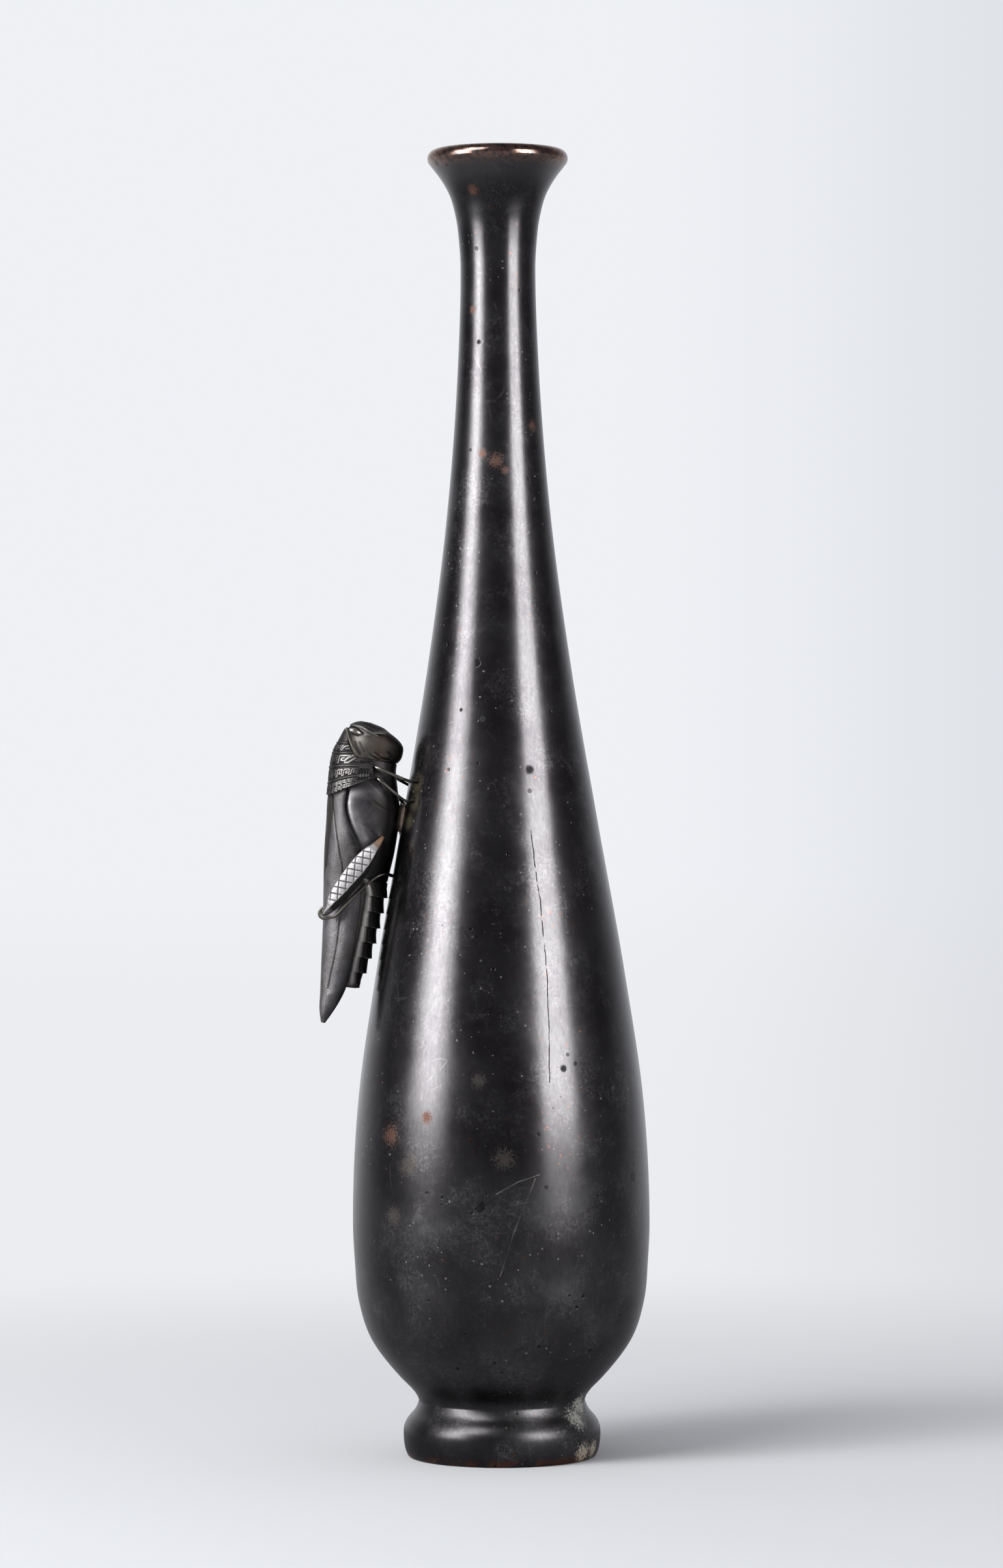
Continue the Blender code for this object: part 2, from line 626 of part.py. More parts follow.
hip_spot = Vector(HIP) * MM
hip_to_knee = Vector(KNEE) * MM - hip_spot
femur_line = hip_to_knee.normalized()
femur_up = Vector((femur_line.y, -femur_line.x))
knee_end = KNEE_LOOP - TIBIA_RADIUS - FIT
femur_rows = [(share, up * FEMUR_WIDTH, down * FEMUR_WIDTH) for share, up, down in FEMUR_SHAPE]
femur_rows += [(0.95, knee_end * 1.05, knee_end * 1.9), (1.0, knee_end * 0.95, knee_end * 1.1),
               (1.0 + 0.9 * knee_end / hip_to_knee.length, knee_end * 0.5, knee_end * 0.5)]


def femur_size(share):
    """Reach above and below the femur's middle line, and half its thickness."""
    up = smooth([(row[0], row[1]) for row in femur_rows], share)
    down = smooth([(row[0], row[2]) for row in femur_rows], share)
    fullness = FEMUR_THIN_END + (up + down) / FEMUR_WIDTH
    return up, down, FEMUR_THICKNESS / 2 * min(1.0, fullness)


def femur_centre(share):
    """Middle of the femur (s, d, w), lying clear against the chest and the wing."""
    beside = min(share, FEMUR_SEATED)
    up, down, half = femur_size(beside)
    lift = (FIT + WING_THICKNESS) * min(1.0, beside / FEMUR_OVER_WING)
    width = 0.0
    for reach in (-down, -down / 2, 0.0, up / 2, up):
        spot = hip_spot + hip_to_knee * beside + femur_up * reach
        width = max(width, side_width(spot.x / MM, spot.y, lift))
    drawn = KNEE_DRAW_IN * max(0.0, share - FEMUR_SEATED) / (1 - FEMUR_SEATED)
    spot = hip_spot + hip_to_knee * share
    return spot.x, spot.y, width + FIT + half - drawn


def femur_rings(side):
    """Rings across the femur from hip to knee."""
    rings = []
    for share, up, down in femur_rows:
        s, d, w = femur_centre(share)
        half = femur_size(share)[2]
        ring = []
        for k in range(FEMUR_FACETS):
            turn = math.tau * k / FEMUR_FACETS
            reach = (up if math.cos(turn) > 0 else down) * math.cos(turn)
            spot = Vector((s, d)) + femur_up * reach
            ring.append(place(spot.x, spot.y, side * (w + half * math.sin(turn))))
        rings.append(ring)
    return rings


# Knee pins: a thin shank through the thigh's end and a domed head on the outside

PIN_FACETS = 12


def pin_rings(points, radii, across_a, across_b, facets):
    """Rings of a stepped pin along the given points."""
    return [[point + (across_a * math.cos(math.tau * k / facets)
                      + across_b * math.sin(math.tau * k / facets)) * radius
             for k in range(facets)] for point, radius in zip(points, radii)]


for label, side in SIDES.items():
    thigh = lofted("hind_femur_" + label, femur_rings(side), locust_metal)
    s, d, w = femur_centre(1.0)
    half = femur_size(1.0)[2]
    pin_places = [w - half - FIT, w + half + FIT, w + half + FIT, w + half + FIT + KNEE_HEAD_HEIGHT]
    pin_points = [place(s, d, side * width) for width in pin_places]
    pin_radii = [KNEE_PIN_RADIUS, KNEE_PIN_RADIUS, KNEE_HEAD_RADIUS, KNEE_HEAD_RADIUS * 0.6]
    lofted("knee_pin_" + label, pin_rings(pin_points, pin_radii, along, outward, PIN_FACETS),
           leg_metal)
    cut(thigh, "knee_hole_" + label, rod(place(s, d, side * (w - half * 2)),
                                         place(s, d, side * (w + half * 2)),
                                         KNEE_PIN_RADIUS + KNEE_PIN_PLAY))

# Hind shins: wire looped round the knee, then under the thigh and down to the wall

LOOP_DEGREES = (55, 85, 120, 155, 190, 220, 248)
TIBIA_RUN = ((-24.35, 11.05, 0.0), (-22.4, 9.65, 0.1), (-20.2, 8.15, 0.25), (-18.0, 6.55, 0.4),
             (-16.0, 5.0, 0.6), (-14.5, 3.6, 0.9), (-13.75, 2.6, 1.3), (-13.4, 1.5, 1.8))


def tibia(label):
    """Shin wire and its hole in the bottle."""
    side = SIDES[label]
    s, d, w = femur_centre(1.0)
    route = []
    for degrees in LOOP_DEGREES:
        turn = math.radians(degrees)
        spot = Vector((s, d)) + (femur_up * math.sin(turn) - femur_line * math.cos(turn)) * KNEE_LOOP
        route.append(place(spot.x, spot.y, side * w))
    for run_s, run_d, draw_in in TIBIA_RUN:
        route.append(place(run_s * MM, run_d * MM, side * (w - draw_in * MM)))
    hole = wall_point(SEAT_HEIGHT - TIBIA_HOLE_DOWN, side * TIBIA_HOLE_SIDE, 0.0)
    inward = Vector((-hole.x, -hole.y, 0)).normalized()
    reach = inward * (WALL + LEG_PAST_WALL)
    points = sweep(route + [hole - inward * LEG_STUB], 2)
    points.append(hole + reach)
    wire("hind_tibia_" + label, points, [TIBIA_RADIUS] * len(points), wire_metal)
    cut(shell, "tibia_hole_" + label, rod(hole - reach, hole + reach * 1.5, TIBIA_RADIUS + FIT))


for label in SIDES:
    tibia(label)

# Seat pin: from a peened head inside, through the wall and a collar, into the chest

SEAT_FACETS = 20

chest_face = smooth(CHEST_LINE, 0.0) * MM
bore = inner_radius(SEAT_HEIGHT)
wall_depth = outer_radius(SEAT_HEIGHT) - bore
bore_rise = bore - math.sqrt(bore**2 - SEAT_HEAD_RADIUS**2)
head_face = -wall_depth - bore_rise - FIT
seat_outline = ((SEAT_HEAD_RADIUS * 0.6, head_face - SEAT_HEAD_THICKNESS),
                (SEAT_HEAD_RADIUS, head_face - SEAT_HEAD_THICKNESS * 0.5),
                (SEAT_HEAD_RADIUS, head_face), (SEAT_PIN_RADIUS, head_face),
                (SEAT_PIN_RADIUS, FIT), (SEAT_COLLAR_RADIUS, FIT),
                (SEAT_COLLAR_RADIUS * 0.8, chest_face - FIT), (SEAT_PIN_RADIUS, chest_face - FIT),
                (SEAT_PIN_RADIUS, SEAT_SOCKET_DEPTH))
seat_points = [place(0.0, d, 0.0) for _, d in seat_outline]
lofted("seat_pin", pin_rings(seat_points, [radius for radius, _ in seat_outline], along, lateral,
                             SEAT_FACETS), wire_metal)
cut(shell, "seat_hole", rod(place(0.0, head_face - SEAT_HEAD_THICKNESS, 0.0),
                            place(0.0, SEAT_SOCKET_DEPTH, 0.0), SEAT_PIN_RADIUS + FIT))
cut(thorax, "seat_socket", rod(seat, place(0.0, SEAT_SOCKET_DEPTH + FIT, 0.0),
                               SEAT_PIN_RADIUS + FIT))
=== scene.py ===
# %% [markdown]
# # A cast bronze bottle with a locust on its side
#
# The real object is a slender bottle for one flower, cast in bronze and given a
# near-black patina. A life-size locust, cast apart, climbs its left side. The solids
# of the bottle and of every piece of the insect come in as a fixed frame. What this
# file adds is the finish: closer shapes on the same sizes, chased detail, and metal
# that is worn, scratched and stained the way old bronze is.

# %% Load the frame
import math

import bmesh
import bpy
import numpy as np
from mathutils import Matrix, Vector


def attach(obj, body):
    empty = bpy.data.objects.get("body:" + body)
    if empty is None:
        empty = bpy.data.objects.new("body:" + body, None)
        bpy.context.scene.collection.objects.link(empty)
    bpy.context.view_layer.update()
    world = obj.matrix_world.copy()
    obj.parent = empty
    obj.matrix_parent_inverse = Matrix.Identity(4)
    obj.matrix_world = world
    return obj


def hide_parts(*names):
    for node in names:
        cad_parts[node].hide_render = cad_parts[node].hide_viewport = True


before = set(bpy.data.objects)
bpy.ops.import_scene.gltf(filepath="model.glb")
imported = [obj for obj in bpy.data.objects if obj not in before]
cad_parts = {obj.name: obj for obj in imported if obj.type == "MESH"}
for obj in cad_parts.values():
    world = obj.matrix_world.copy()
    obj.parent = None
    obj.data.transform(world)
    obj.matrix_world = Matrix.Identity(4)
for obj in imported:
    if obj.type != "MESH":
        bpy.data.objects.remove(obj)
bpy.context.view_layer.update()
print("solids in the frame:", len(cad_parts))

# %% [markdown]
# ## Camera
#
# The photograph looks almost level at the bottle from a bit over a metre away, through
# a long lens. Three facts fix the camera: how many metres a pixel covers at the bottle's
# axis, how far away the lens is, and which row of the picture is at the lens's own
# height. The bottle leans a hair in the picture, so the camera is rolled by that much.

# %% Camera
IMAGE_WIDTH = 1540
IMAGE_HEIGHT = 2408
METRES_PER_PIXEL = 0.00014472
CAMERA_DISTANCE = 1.1234
CAMERA_HEIGHT = 0.1578
HORIZON_ROW = 1144.9
AXIS_COLUMN = 767.3
PICTURE_ROLL = math.radians(0.20)
LONG_SIDE_MM = 36.0

focal_pixels = CAMERA_DISTANCE / METRES_PER_PIXEL
camera_data = bpy.data.cameras.new("camera")
camera_data.sensor_width = LONG_SIDE_MM
camera_data.lens = focal_pixels * LONG_SIDE_MM / IMAGE_HEIGHT
camera = bpy.data.objects.new("camera", camera_data)
bpy.context.scene.collection.objects.link(camera)
bpy.context.scene.camera = camera

drop = (IMAGE_HEIGHT / 2 - HORIZON_ROW) / focal_pixels
aside = (IMAGE_WIDTH / 2 - AXIS_COLUMN) / focal_pixels
forward = Vector((aside, 1, -drop)).normalized()
right = forward.cross(Vector((0, 0, 1))).normalized()
up = right.cross(forward)
rolled_right = right * math.cos(PICTURE_ROLL) - up * math.sin(PICTURE_ROLL)
rolled_up = up * math.cos(PICTURE_ROLL) + right * math.sin(PICTURE_ROLL)
stance = Matrix((rolled_right, rolled_up, -forward)).transposed().to_4x4()
camera_spot = Vector((0, -CAMERA_DISTANCE, CAMERA_HEIGHT))
camera.matrix_world = Matrix.Translation(camera_spot) @ stance
print("lens in mm:", round(camera_data.lens, 1))


def sight(column, row):
    """Direction from the lens through a place in the picture."""
    across = (column - IMAGE_WIDTH / 2) / focal_pixels
    rise = (IMAGE_HEIGHT / 2 - row) / focal_pixels
    return (forward + rolled_right * across + rolled_up * rise).normalized()


# %% [markdown]
# ## Building materials from nodes
#
# Every finish here is a small network of shader nodes. Wiring them by hand takes many
# lines, so a few short helpers come first. The main one is a value that stands for a
# node's output: plain arithmetic on it adds Math nodes. Node groups with named sockets
# let wear, mottling and scratches be built once and used on every metal.

# %% Values in a node tree
class Value:
    """Output of a node: arithmetic on it adds Math nodes, a name picks another output."""

    def __init__(self, tree, socket):
        self.tree = tree
        self.socket = socket

    def __getitem__(self, name):
        return Value(self.tree, self.socket.node.outputs[name])

    def __add__(self, other):
        return calc("ADD", self, other)

    def __radd__(self, other):
        return calc("ADD", other, self)

    def __sub__(self, other):
        return calc("SUBTRACT", self, other)

    def __rsub__(self, other):
        return calc("SUBTRACT", other, self)

    def __mul__(self, other):
        return calc("MULTIPLY", self, other)

    def __truediv__(self, other):
        return calc("DIVIDE", self, other)

    def __rtruediv__(self, other):
        return calc("DIVIDE", other, self)


def connect(value, socket):
    """Feed a socket from a node's output, or set it to a plain value."""
    if isinstance(value, Value):
        value.tree.links.new(value.socket, socket)
    elif isinstance(value, tuple) and socket.type == "RGBA":
        socket.default_value = (*value, 1)
    else:
        socket.default_value = value


def add(tree, kind, settings=None, **inputs):
    """Add a node with inputs named by socket or number; its first output."""
    node = tree.nodes.new(kind)
    for name, value in (settings or {}).items():
        setattr(node, name, value)
    for name, value in inputs.items():
        key = int(name[1:]) if name[1:].isdigit() else name.replace("_", " ")
        connect(value, node.inputs[key])
    return Value(tree, node.outputs[0] if node.outputs else None)


# %% Node helpers
def calc(operation, *values, clamp=False):
    """Math node's result."""
    tree = next(value.tree for value in values if isinstance(value, Value))
    inputs = {f"n{k}": value for k, value in enumerate(values)}
    return add(tree, "ShaderNodeMath", {"operation": operation, "use_clamp": clamp}, **inputs)


def vector(operation, *values, **inputs):
    """Vector Math node's result, a place or one number."""
    inputs.update((f"n{k}", value) for k, value in enumerate(values))
    made = add(values[0].tree, "ShaderNodeVectorMath", {"operation": operation}, **inputs)
    return made["Value"] if operation in ("LENGTH", "DISTANCE", "DOT_PRODUCT") else made


def highest(first, *others):
    """Largest of several values."""
    for other in others:
        first = calc("MAXIMUM", first, other)
    return first


def blend(share, first, second):
    """Colour between two colours."""
    return add(share.tree, "ShaderNodeMix", {"data_type": "RGBA"}, n0=share, n6=first, n7=second)[2]


def coats(tone, *layers):
    """Colours laid over a tone one after another, each by its share."""
    for share, colour in layers:
        tone = blend(share, tone, colour)
    return tone


def ramp(value, low, high, out_low=0.0, out_high=1.0, kind="SMOOTHSTEP"):
    """Value stretched from one range to another, smoothly unless told otherwise."""
    return add(value.tree, "ShaderNodeMapRange", {"interpolation_type": kind}, Value=value,
               From_Min=low, From_Max=high, To_Min=out_low, To_Max=out_high)


def noise(where, scale, detail=3.0, roughness=0.5):
    """Cloudy noise between 0 and 1; scale is in clouds per metre."""
    return add(where.tree, "ShaderNodeTexNoise", Vector=where, Scale=scale, Detail=detail,
               Roughness=roughness)


def object_place(tree):
    """Place on the piece, in metres."""
    return add(tree, "ShaderNodeTexCoord")["Object"]


def split(where):
    """Parts of a place, by the names X, Y and Z."""
    return add(where.tree, "ShaderNodeSeparateXYZ", Vector=where)


def new_group(name, inputs, outputs):
    """Node group whose inputs are places (None) or numbers and whose outputs are numbers."""
    tree = bpy.data.node_groups.new(name, "ShaderNodeTree")
    for socket, value in inputs.items():
        kind = "NodeSocketVector" if value is None else "NodeSocketFloat"
        made = tree.interface.new_socket(socket, in_out="INPUT", socket_type=kind)
        if value is not None:
            made.default_value = value
    for socket in outputs:
        tree.interface.new_socket(socket, in_out="OUTPUT", socket_type="NodeSocketFloat")
    given = add(tree, "NodeGroupInput")
    return tree, given, tree.nodes.new("NodeGroupOutput").inputs


def use_group(group, where, **inputs):
    """Place a node group in a material; its first output."""
    return add(where.tree, "ShaderNodeGroup", {"node_tree": group}, Place=where, **inputs)


def metal(name, roughness, metallic=1.0):
    """Metal material, the places on its piece and its shader's inputs."""
    material = bpy.data.materials.new(name)
    material.use_nodes = True
    shader = material.node_tree.nodes["Principled BSDF"].inputs
    shader["Metallic"].default_value = metallic
    shader["Roughness"].default_value = roughness
    return material, object_place(material.node_tree), shader


def dress(shader, tone, rough=None, height=None, strength=0.7):
    """Give a shader its colour and, where they vary, its roughness and its relief in metres."""
    connect(tone, shader["Base Color"])
    if rough is not None:
        connect(rough, shader["Roughness"])
    if height is not None:
        bump = add(height.tree, "ShaderNodeBump", Height=height, Strength=strength, Distance=1.0)
        connect(bump, shader["Normal"])


def recoat(share, colour):
    """Lay one more colour over a finished metal, by a share that is made in its tree."""
    base = share.tree.nodes["Principled BSDF"].inputs["Base Color"]
    connect(blend(share, Value(share.tree, base.links[0].from_socket), colour), base)


def empty_tree(owner):
    """Node tree of a world or material, without its first nodes."""
    owner.use_nodes = True
    owner.node_tree.nodes.clear()
    return owner.node_tree


# %% [markdown]
# ## Room
#
# The photograph was taken on a pale sweep of paper between two tall soft lights. Dark
# polished metal shows little of its own colour: what the eye reads as its shape is the
# two lights mirrored as long stripes, and the pale paper mirrored along its edges. So
# the lights are placed where the stripes say they stood. A stripe seen at an angle from
# the bottle's middle line comes from twice that angle round the room.
#
# Light Path makes the far paper a plain colour for the camera and for mirrored rays,
# while rays that light the object by scattering see a weaker room. In front, where the
# photographer stood, the paper ends and the room is dark, which keeps the bronze black
# between its stripes and below its belly.

# %% Paper and room
PAPER_LEFT = (0.86, 0.875, 0.91)
PAPER_RIGHT = (0.70, 0.72, 0.765)
PAPER_LOW = (0.83, 0.84, 0.865)
PAPER_LOW_RIGHT = (0.69, 0.705, 0.74)
PAPER_TURN = (0.02, 0.14)
ROOM_FRONT = (0.094, 0.087, 0.098)
ROOM_TURN = (0.25, 1.05)
ROOM_FILL = (0.62, 0.62, 0.6386)
FLOOR_REACH = 12.0
FLOOR_LIT_TO = 0.10
FLOOR_FADED_BY = 0.42
FLOOR_FAR = (0.5, 5.0)
FLOOR_PAPER = (0.603, 0.615, 0.635)
FLOOR_TURN = (0.95, 0.1)
FLOOR_MIDDLE = 0.05
MIRRORED_DARK = 0.78

world = bpy.data.worlds.new("room")
bpy.context.scene.world = world
tree = empty_tree(world)
heading = split(add(tree, "ShaderNodeTexCoord")["Generated"])
paper = blend(ramp(heading["X"], *PAPER_TURN), PAPER_LEFT, PAPER_RIGHT)
mirrored = blend(ramp(heading["Y"], *ROOM_TURN), ROOM_FRONT, paper)
rays = add(tree, "ShaderNodeLightPath")
seen = blend(rays["Is Camera Ray"], mirrored, paper)
direct = highest(rays["Is Glossy Ray"], rays["Is Transmission Ray"], rays["Is Camera Ray"])
background = add(tree, "ShaderNodeBackground", Color=blend(direct, ROOM_FILL, seen))
add(tree, "ShaderNodeOutputWorld", Surface=background)

floor_mesh = bpy.data.meshes.new("floor")
square = ((-1, -1), (1, -1), (1, 1), (-1, 1))
corners = [(x * FLOOR_REACH, y * FLOOR_REACH, 0) for x, y in square]
floor_mesh.from_pydata(corners, [], [(0, 1, 2, 3)])
floor = bpy.data.objects.new("floor", floor_mesh)
bpy.context.scene.collection.objects.link(floor)

# %% Floor paper
floor_paper = bpy.data.materials.new("floor_paper")
tree = empty_tree(floor_paper)
where = object_place(tree)
apart = vector("LENGTH", where)
near = ramp(apart, FLOOR_LIT_TO, FLOOR_FADED_BY, 1.0, 0.0)
place = split(where)
to_right = ramp(place["X"] / (apart + CAMERA_DISTANCE), *PAPER_TURN)
low_paper = blend(to_right, PAPER_LOW, PAPER_LOW_RIGHT)
far_paper = blend(to_right, PAPER_LEFT, PAPER_RIGHT)
rays = add(tree, "ShaderNodeLightPath")
glow = highest(rays["Is Camera Ray"], rays["Is Glossy Ray"]) * (1.0 - near)
sheet = add(tree, "ShaderNodeBsdfDiffuse", Color=FLOOR_PAPER)
glow_tone = blend(ramp(apart, *FLOOR_FAR), low_paper, far_paper)
glowing = add(tree, "ShaderNodeEmission", Color=glow_tone)
mixed = add(tree, "ShaderNodeMixShader", n0=glow, n1=sheet, n2=glowing)
behind = place["Y"] / (apart + FLOOR_MIDDLE)
in_front = rays["Is Glossy Ray"] * ramp(behind, *FLOOR_TURN, 0.0, MIRRORED_DARK)
dark_front = add(tree, "ShaderNodeEmission", Color=ROOM_FRONT)
ended = add(tree, "ShaderNodeMixShader", n0=in_front, n1=mixed, n2=dark_front)
add(tree, "ShaderNodeOutputMaterial", Surface=ended)
floor_mesh.materials.append(floor_paper)
print("materials so far:", len(bpy.data.materials))

# %% [markdown]
# The lamps are area lamps, which Cycles mirrors in shiny surfaces. They are hidden
# from the camera itself, so that a view from behind doesn't show them. The left one
# has a brighter core, so its stripe on the bottle fades to both sides. Another, high
# and dimmer, gives the soft shadow that falls to the right of the foot.

# %% Soft lights
LIGHT_DISTANCE = 0.9
AIM_HEIGHT = 0.3


def soft_light(name, bearing_deg, height, width, tall, power, distance=LIGHT_DISTANCE):
    """Upright soft box aimed at the bottle; bearing is counted from the camera's side."""
    data = bpy.data.lights.new(name, "AREA")
    data.shape = "RECTANGLE"
    data.size = width
    data.size_y = tall
    data.energy = power
    lamp = bpy.data.objects.new(name, data)
    lamp.visible_camera = False
    bearing = math.radians(bearing_deg)
    lamp.location = (math.sin(bearing) * distance, -math.cos(bearing) * distance, height)
    aim = Vector((0, 0, min(height, AIM_HEIGHT))) - lamp.location
    lamp.rotation_euler = aim.to_track_quat("-Z", "Y").to_euler()
    bpy.context.scene.collection.objects.link(lamp)
    return lamp


soft_light("left_box", -61, 0.45, width=0.54, tall=0.64, power=5.2)
soft_light("left_core", -61, 0.45, width=0.27, tall=0.62, power=3.2, distance=0.87)
soft_light("right_box", 47.5, 0.42, width=0.46, tall=0.64, power=8.0).visible_diffuse = False
soft_light("high_box", -44, 0.95, width=0.5, tall=0.5, power=6.0, distance=0.8)
print("lamps:", len(bpy.data.lights))

# %% [markdown]
# ## The bottle's outline
#
# A bottle like this is one curve turned about an axis. The curve is kept as a few
# shares: how far up a stretch, and how far between its two radii. A limited cubic
# through them can't wobble past a point, which matters on a mirror-dark surface, where
# the smallest bump bends a stripe.

# %% Smooth curve through a few points
MM = 0.001


def smooth(stations, x, level=(False, False)):
    """Values at x (a number or an array) of a smooth curve through stations."""
    pts = np.array(sorted(stations), float)
    span = np.diff(pts[:, 0])
    slope = np.diff(pts[:, 1]) / span
    tangent = np.empty(len(pts))
    tangent[0] = 0.0 if level[0] else slope[0]
    tangent[-1] = 0.0 if level[1] else slope[-1]
    lean = (span[1:] * slope[:-1] + span[:-1] * slope[1:]) / (span[1:] + span[:-1])
    limit = 3 * np.minimum(np.abs(slope[:-1]), np.abs(slope[1:]))
    tangent[1:-1] = np.where(slope[:-1] * slope[1:] > 0, np.clip(lean, -limit, limit), 0.0)
    x = np.clip(np.asarray(x, float), pts[0, 0], pts[-1, 0])
    k = np.clip(np.searchsorted(pts[:, 0], x, side="right") - 1, 0, len(span) - 1)
    t = (x - pts[k, 0]) / span[k]
    value = ((2 * t**3 - 3 * t**2 + 1) * pts[k, 1] + (t**3 - 2 * t**2 + t) * span[k] * tangent[k]
             + (3 * t**2 - 2 * t**3) * pts[k + 1, 1] + (t**3 - t**2) * span[k] * tangent[k + 1])
    return value if value.ndim else float(value)


# %% Bottle outline
BOTTLE_HEIGHT = 290.0 * MM
LIP_RADIUS = 15.6 * MM
LIP_ROLL = 1.95 * MM
NECK_RADIUS = 8.32 * MM
NECK_DEPTH = 26.7 * MM
BELLY_RADIUS = 32.97 * MM
BELLY_HEIGHT = 52.0 * MM
WAIST_RADIUS = 18.45 * MM
WAIST_HEIGHT = 12.5 * MM
FOOT_RADIUS = 21.88 * MM
FOOT_EDGE_HEIGHT = 5.1 * MM
FOOT_ROUNDING = 1.48 * MM
WALL = 2.15 * MM
FOOT_RING_WIDTH = 2.4 * MM
PLATE_THICKNESS = 1.6 * MM
PLATE_RECESS = 1.2 * MM
PLATE_LEDGE = 1.9 * MM
PLATE_CHAMFER = 0.9 * MM
FIT = 0.3 * MM

FOOT_OGEE = ((0.0, 1.0), (0.31, 0.89), (0.47, 0.69), (0.70, 0.264), (0.865, 0.084), (1.0, 0.0))
BELLY_RISE = ((0.0, 0.0), (0.046, 0.064), (0.134, 0.29), (0.339, 0.714), (0.56, 0.914),
              (0.78, 0.973), (1.0, 1.0))
BODY_FALL = ((0.0, 1.0), (0.123, 0.952), (0.26, 0.786), (0.4245, 0.539), (0.576, 0.319),
             (0.74, 0.1325), (0.904, 0.025), (1.0, 0.0))
FLARE_RISE = ((0.0, 0.0), (0.25, 0.043), (0.50, 0.149), (0.74, 0.393), (0.90, 0.727), (1.0, 1.0))
FLARE_CORNER = math.radians(-45)

neck_height = BOTTLE_HEIGHT - NECK_DEPTH
lip_centre = (LIP_RADIUS - LIP_ROLL, BOTTLE_HEIGHT - LIP_ROLL)
flare_radius = lip_centre[0] + LIP_ROLL * math.cos(FLARE_CORNER)
flare_height = lip_centre[1] + LIP_ROLL * math.sin(FLARE_CORNER)

# Each stretch: lower and upper height, small and large radius, shares, level at its ends.
STRETCHES = (
    (FOOT_EDGE_HEIGHT, WAIST_HEIGHT, WAIST_RADIUS, FOOT_RADIUS, FOOT_OGEE, (True, True)),
    (WAIST_HEIGHT, BELLY_HEIGHT, WAIST_RADIUS, BELLY_RADIUS, BELLY_RISE, (True, True)),
    (BELLY_HEIGHT, neck_height, NECK_RADIUS, BELLY_RADIUS, BODY_FALL, (True, True)),
    (neck_height, flare_height, NECK_RADIUS, flare_radius, FLARE_RISE, (True, False)))


def outer_radius(z):
    """Outside radius of the bottle at a height above the foot's edge."""
    z = np.asarray(z, float)
    radius = None
    for low, high, small, large, shares, level in reversed(STRETCHES):
        here = small + (large - small) * smooth(shares, (z - low) / (high - low), level)
        radius = here if radius is None else np.where(z < high, here, radius)
    return radius if radius.ndim else float(radius)


def inner_radius(z):
    """Inside radius: the wall keeps its thickness square to its slope."""
    step = 0.5 * MM
    slope = (outer_radius(z + step) - outer_radius(z - step)) / (2 * step)
    return outer_radius(z) - WALL * np.sqrt(1 + slope**2)


def arc(centre, radii, start_deg, end_deg, count):
    """Points on a round or oval corner, without its first."""
    turns = np.radians(np.linspace(start_deg, end_deg, count + 1)[1:])
    return [(centre[0] + radii[0] * math.cos(t), centre[1] + radii[1] * math.sin(t)) for t in turns]


def heights(*runs):
    """Heights along several runs (start, end, count), without the first of each."""
    return np.concatenate([np.linspace(*run)[1:] for run in runs])


FOOT_FLAT = FOOT_RADIUS - FOOT_ROUNDING
REBATE = FOOT_FLAT - FOOT_RING_WIDTH
REBATE_ROUND = 0.25 * MM


def bottle_outline():
    """Closed outline (radius, height): under the foot, up the outside, down the inside."""
    plate_seat = PLATE_RECESS + PLATE_THICKNESS + FIT
    points = [(REBATE, plate_seat), (REBATE, REBATE_ROUND)]
    points += arc((REBATE + REBATE_ROUND, REBATE_ROUND), (REBATE_ROUND, REBATE_ROUND), 180, 270, 3)
    points.append((FOOT_FLAT, 0.0))
    points += arc((FOOT_FLAT, FOOT_EDGE_HEIGHT), (FOOT_ROUNDING, FOOT_EDGE_HEIGHT), -90, 0, 14)
    outside = heights((FOOT_EDGE_HEIGHT, WAIST_HEIGHT, 21), (WAIST_HEIGHT, BELLY_HEIGHT, 41),
                      (BELLY_HEIGHT, neck_height, 81), (neck_height, flare_height, 27))
    points += list(zip(outer_radius(outside), outside))
    points += arc(lip_centre, (LIP_ROLL, LIP_ROLL), math.degrees(FLARE_CORNER), 180, 22)
    throat = NECK_RADIUS - WALL
    mouth = lip_centre[0] - LIP_ROLL
    for z in heights((lip_centre[1], neck_height, 19)):
        share = (z - neck_height) / (lip_centre[1] - neck_height)
        points.append((throat + (mouth - throat) * smooth(FLARE_RISE, share, (True, False)), z))
    inside = heights((neck_height, BELLY_HEIGHT, 33), (BELLY_HEIGHT, WAIST_HEIGHT + WALL, 19))
    points += list(zip(inner_radius(inside), inside))
    points.append((min(REBATE - PLATE_LEDGE, inner_radius(WAIST_HEIGHT)), plate_seat))
    return points


print("points on the bottle's outline:", len(bottle_outline()))

# %% [markdown]
# ## Turning the bottle with Geometry Nodes
#
# The bottle is the one big form whose shape follows a rule, so a node tree makes it. A
# tiny circle is the path, the outline is the cross-section swept along it, and the
# result is a turned body. The tree has inputs for the outline, the number of steps
# round and the finish, and the bead of solder under the foot uses it too.

# %% Turned-body tree
def geometry_tree(name, inputs):
    """Empty Geometry Nodes tree with named inputs; the tree, its inputs and its end."""
    tree = bpy.data.node_groups.new(name, "GeometryNodeTree")
    tree.interface.new_socket("Geometry", in_out="INPUT", socket_type="NodeSocketGeometry")
    for socket, kind in inputs.items():
        tree.interface.new_socket(socket, in_out="INPUT", socket_type="NodeSocket" + kind)
    tree.interface.new_socket("Geometry", in_out="OUTPUT", socket_type="NodeSocketGeometry")
    return tree, add(tree, "NodeGroupInput"), tree.nodes.new("NodeGroupOutput").inputs[0]


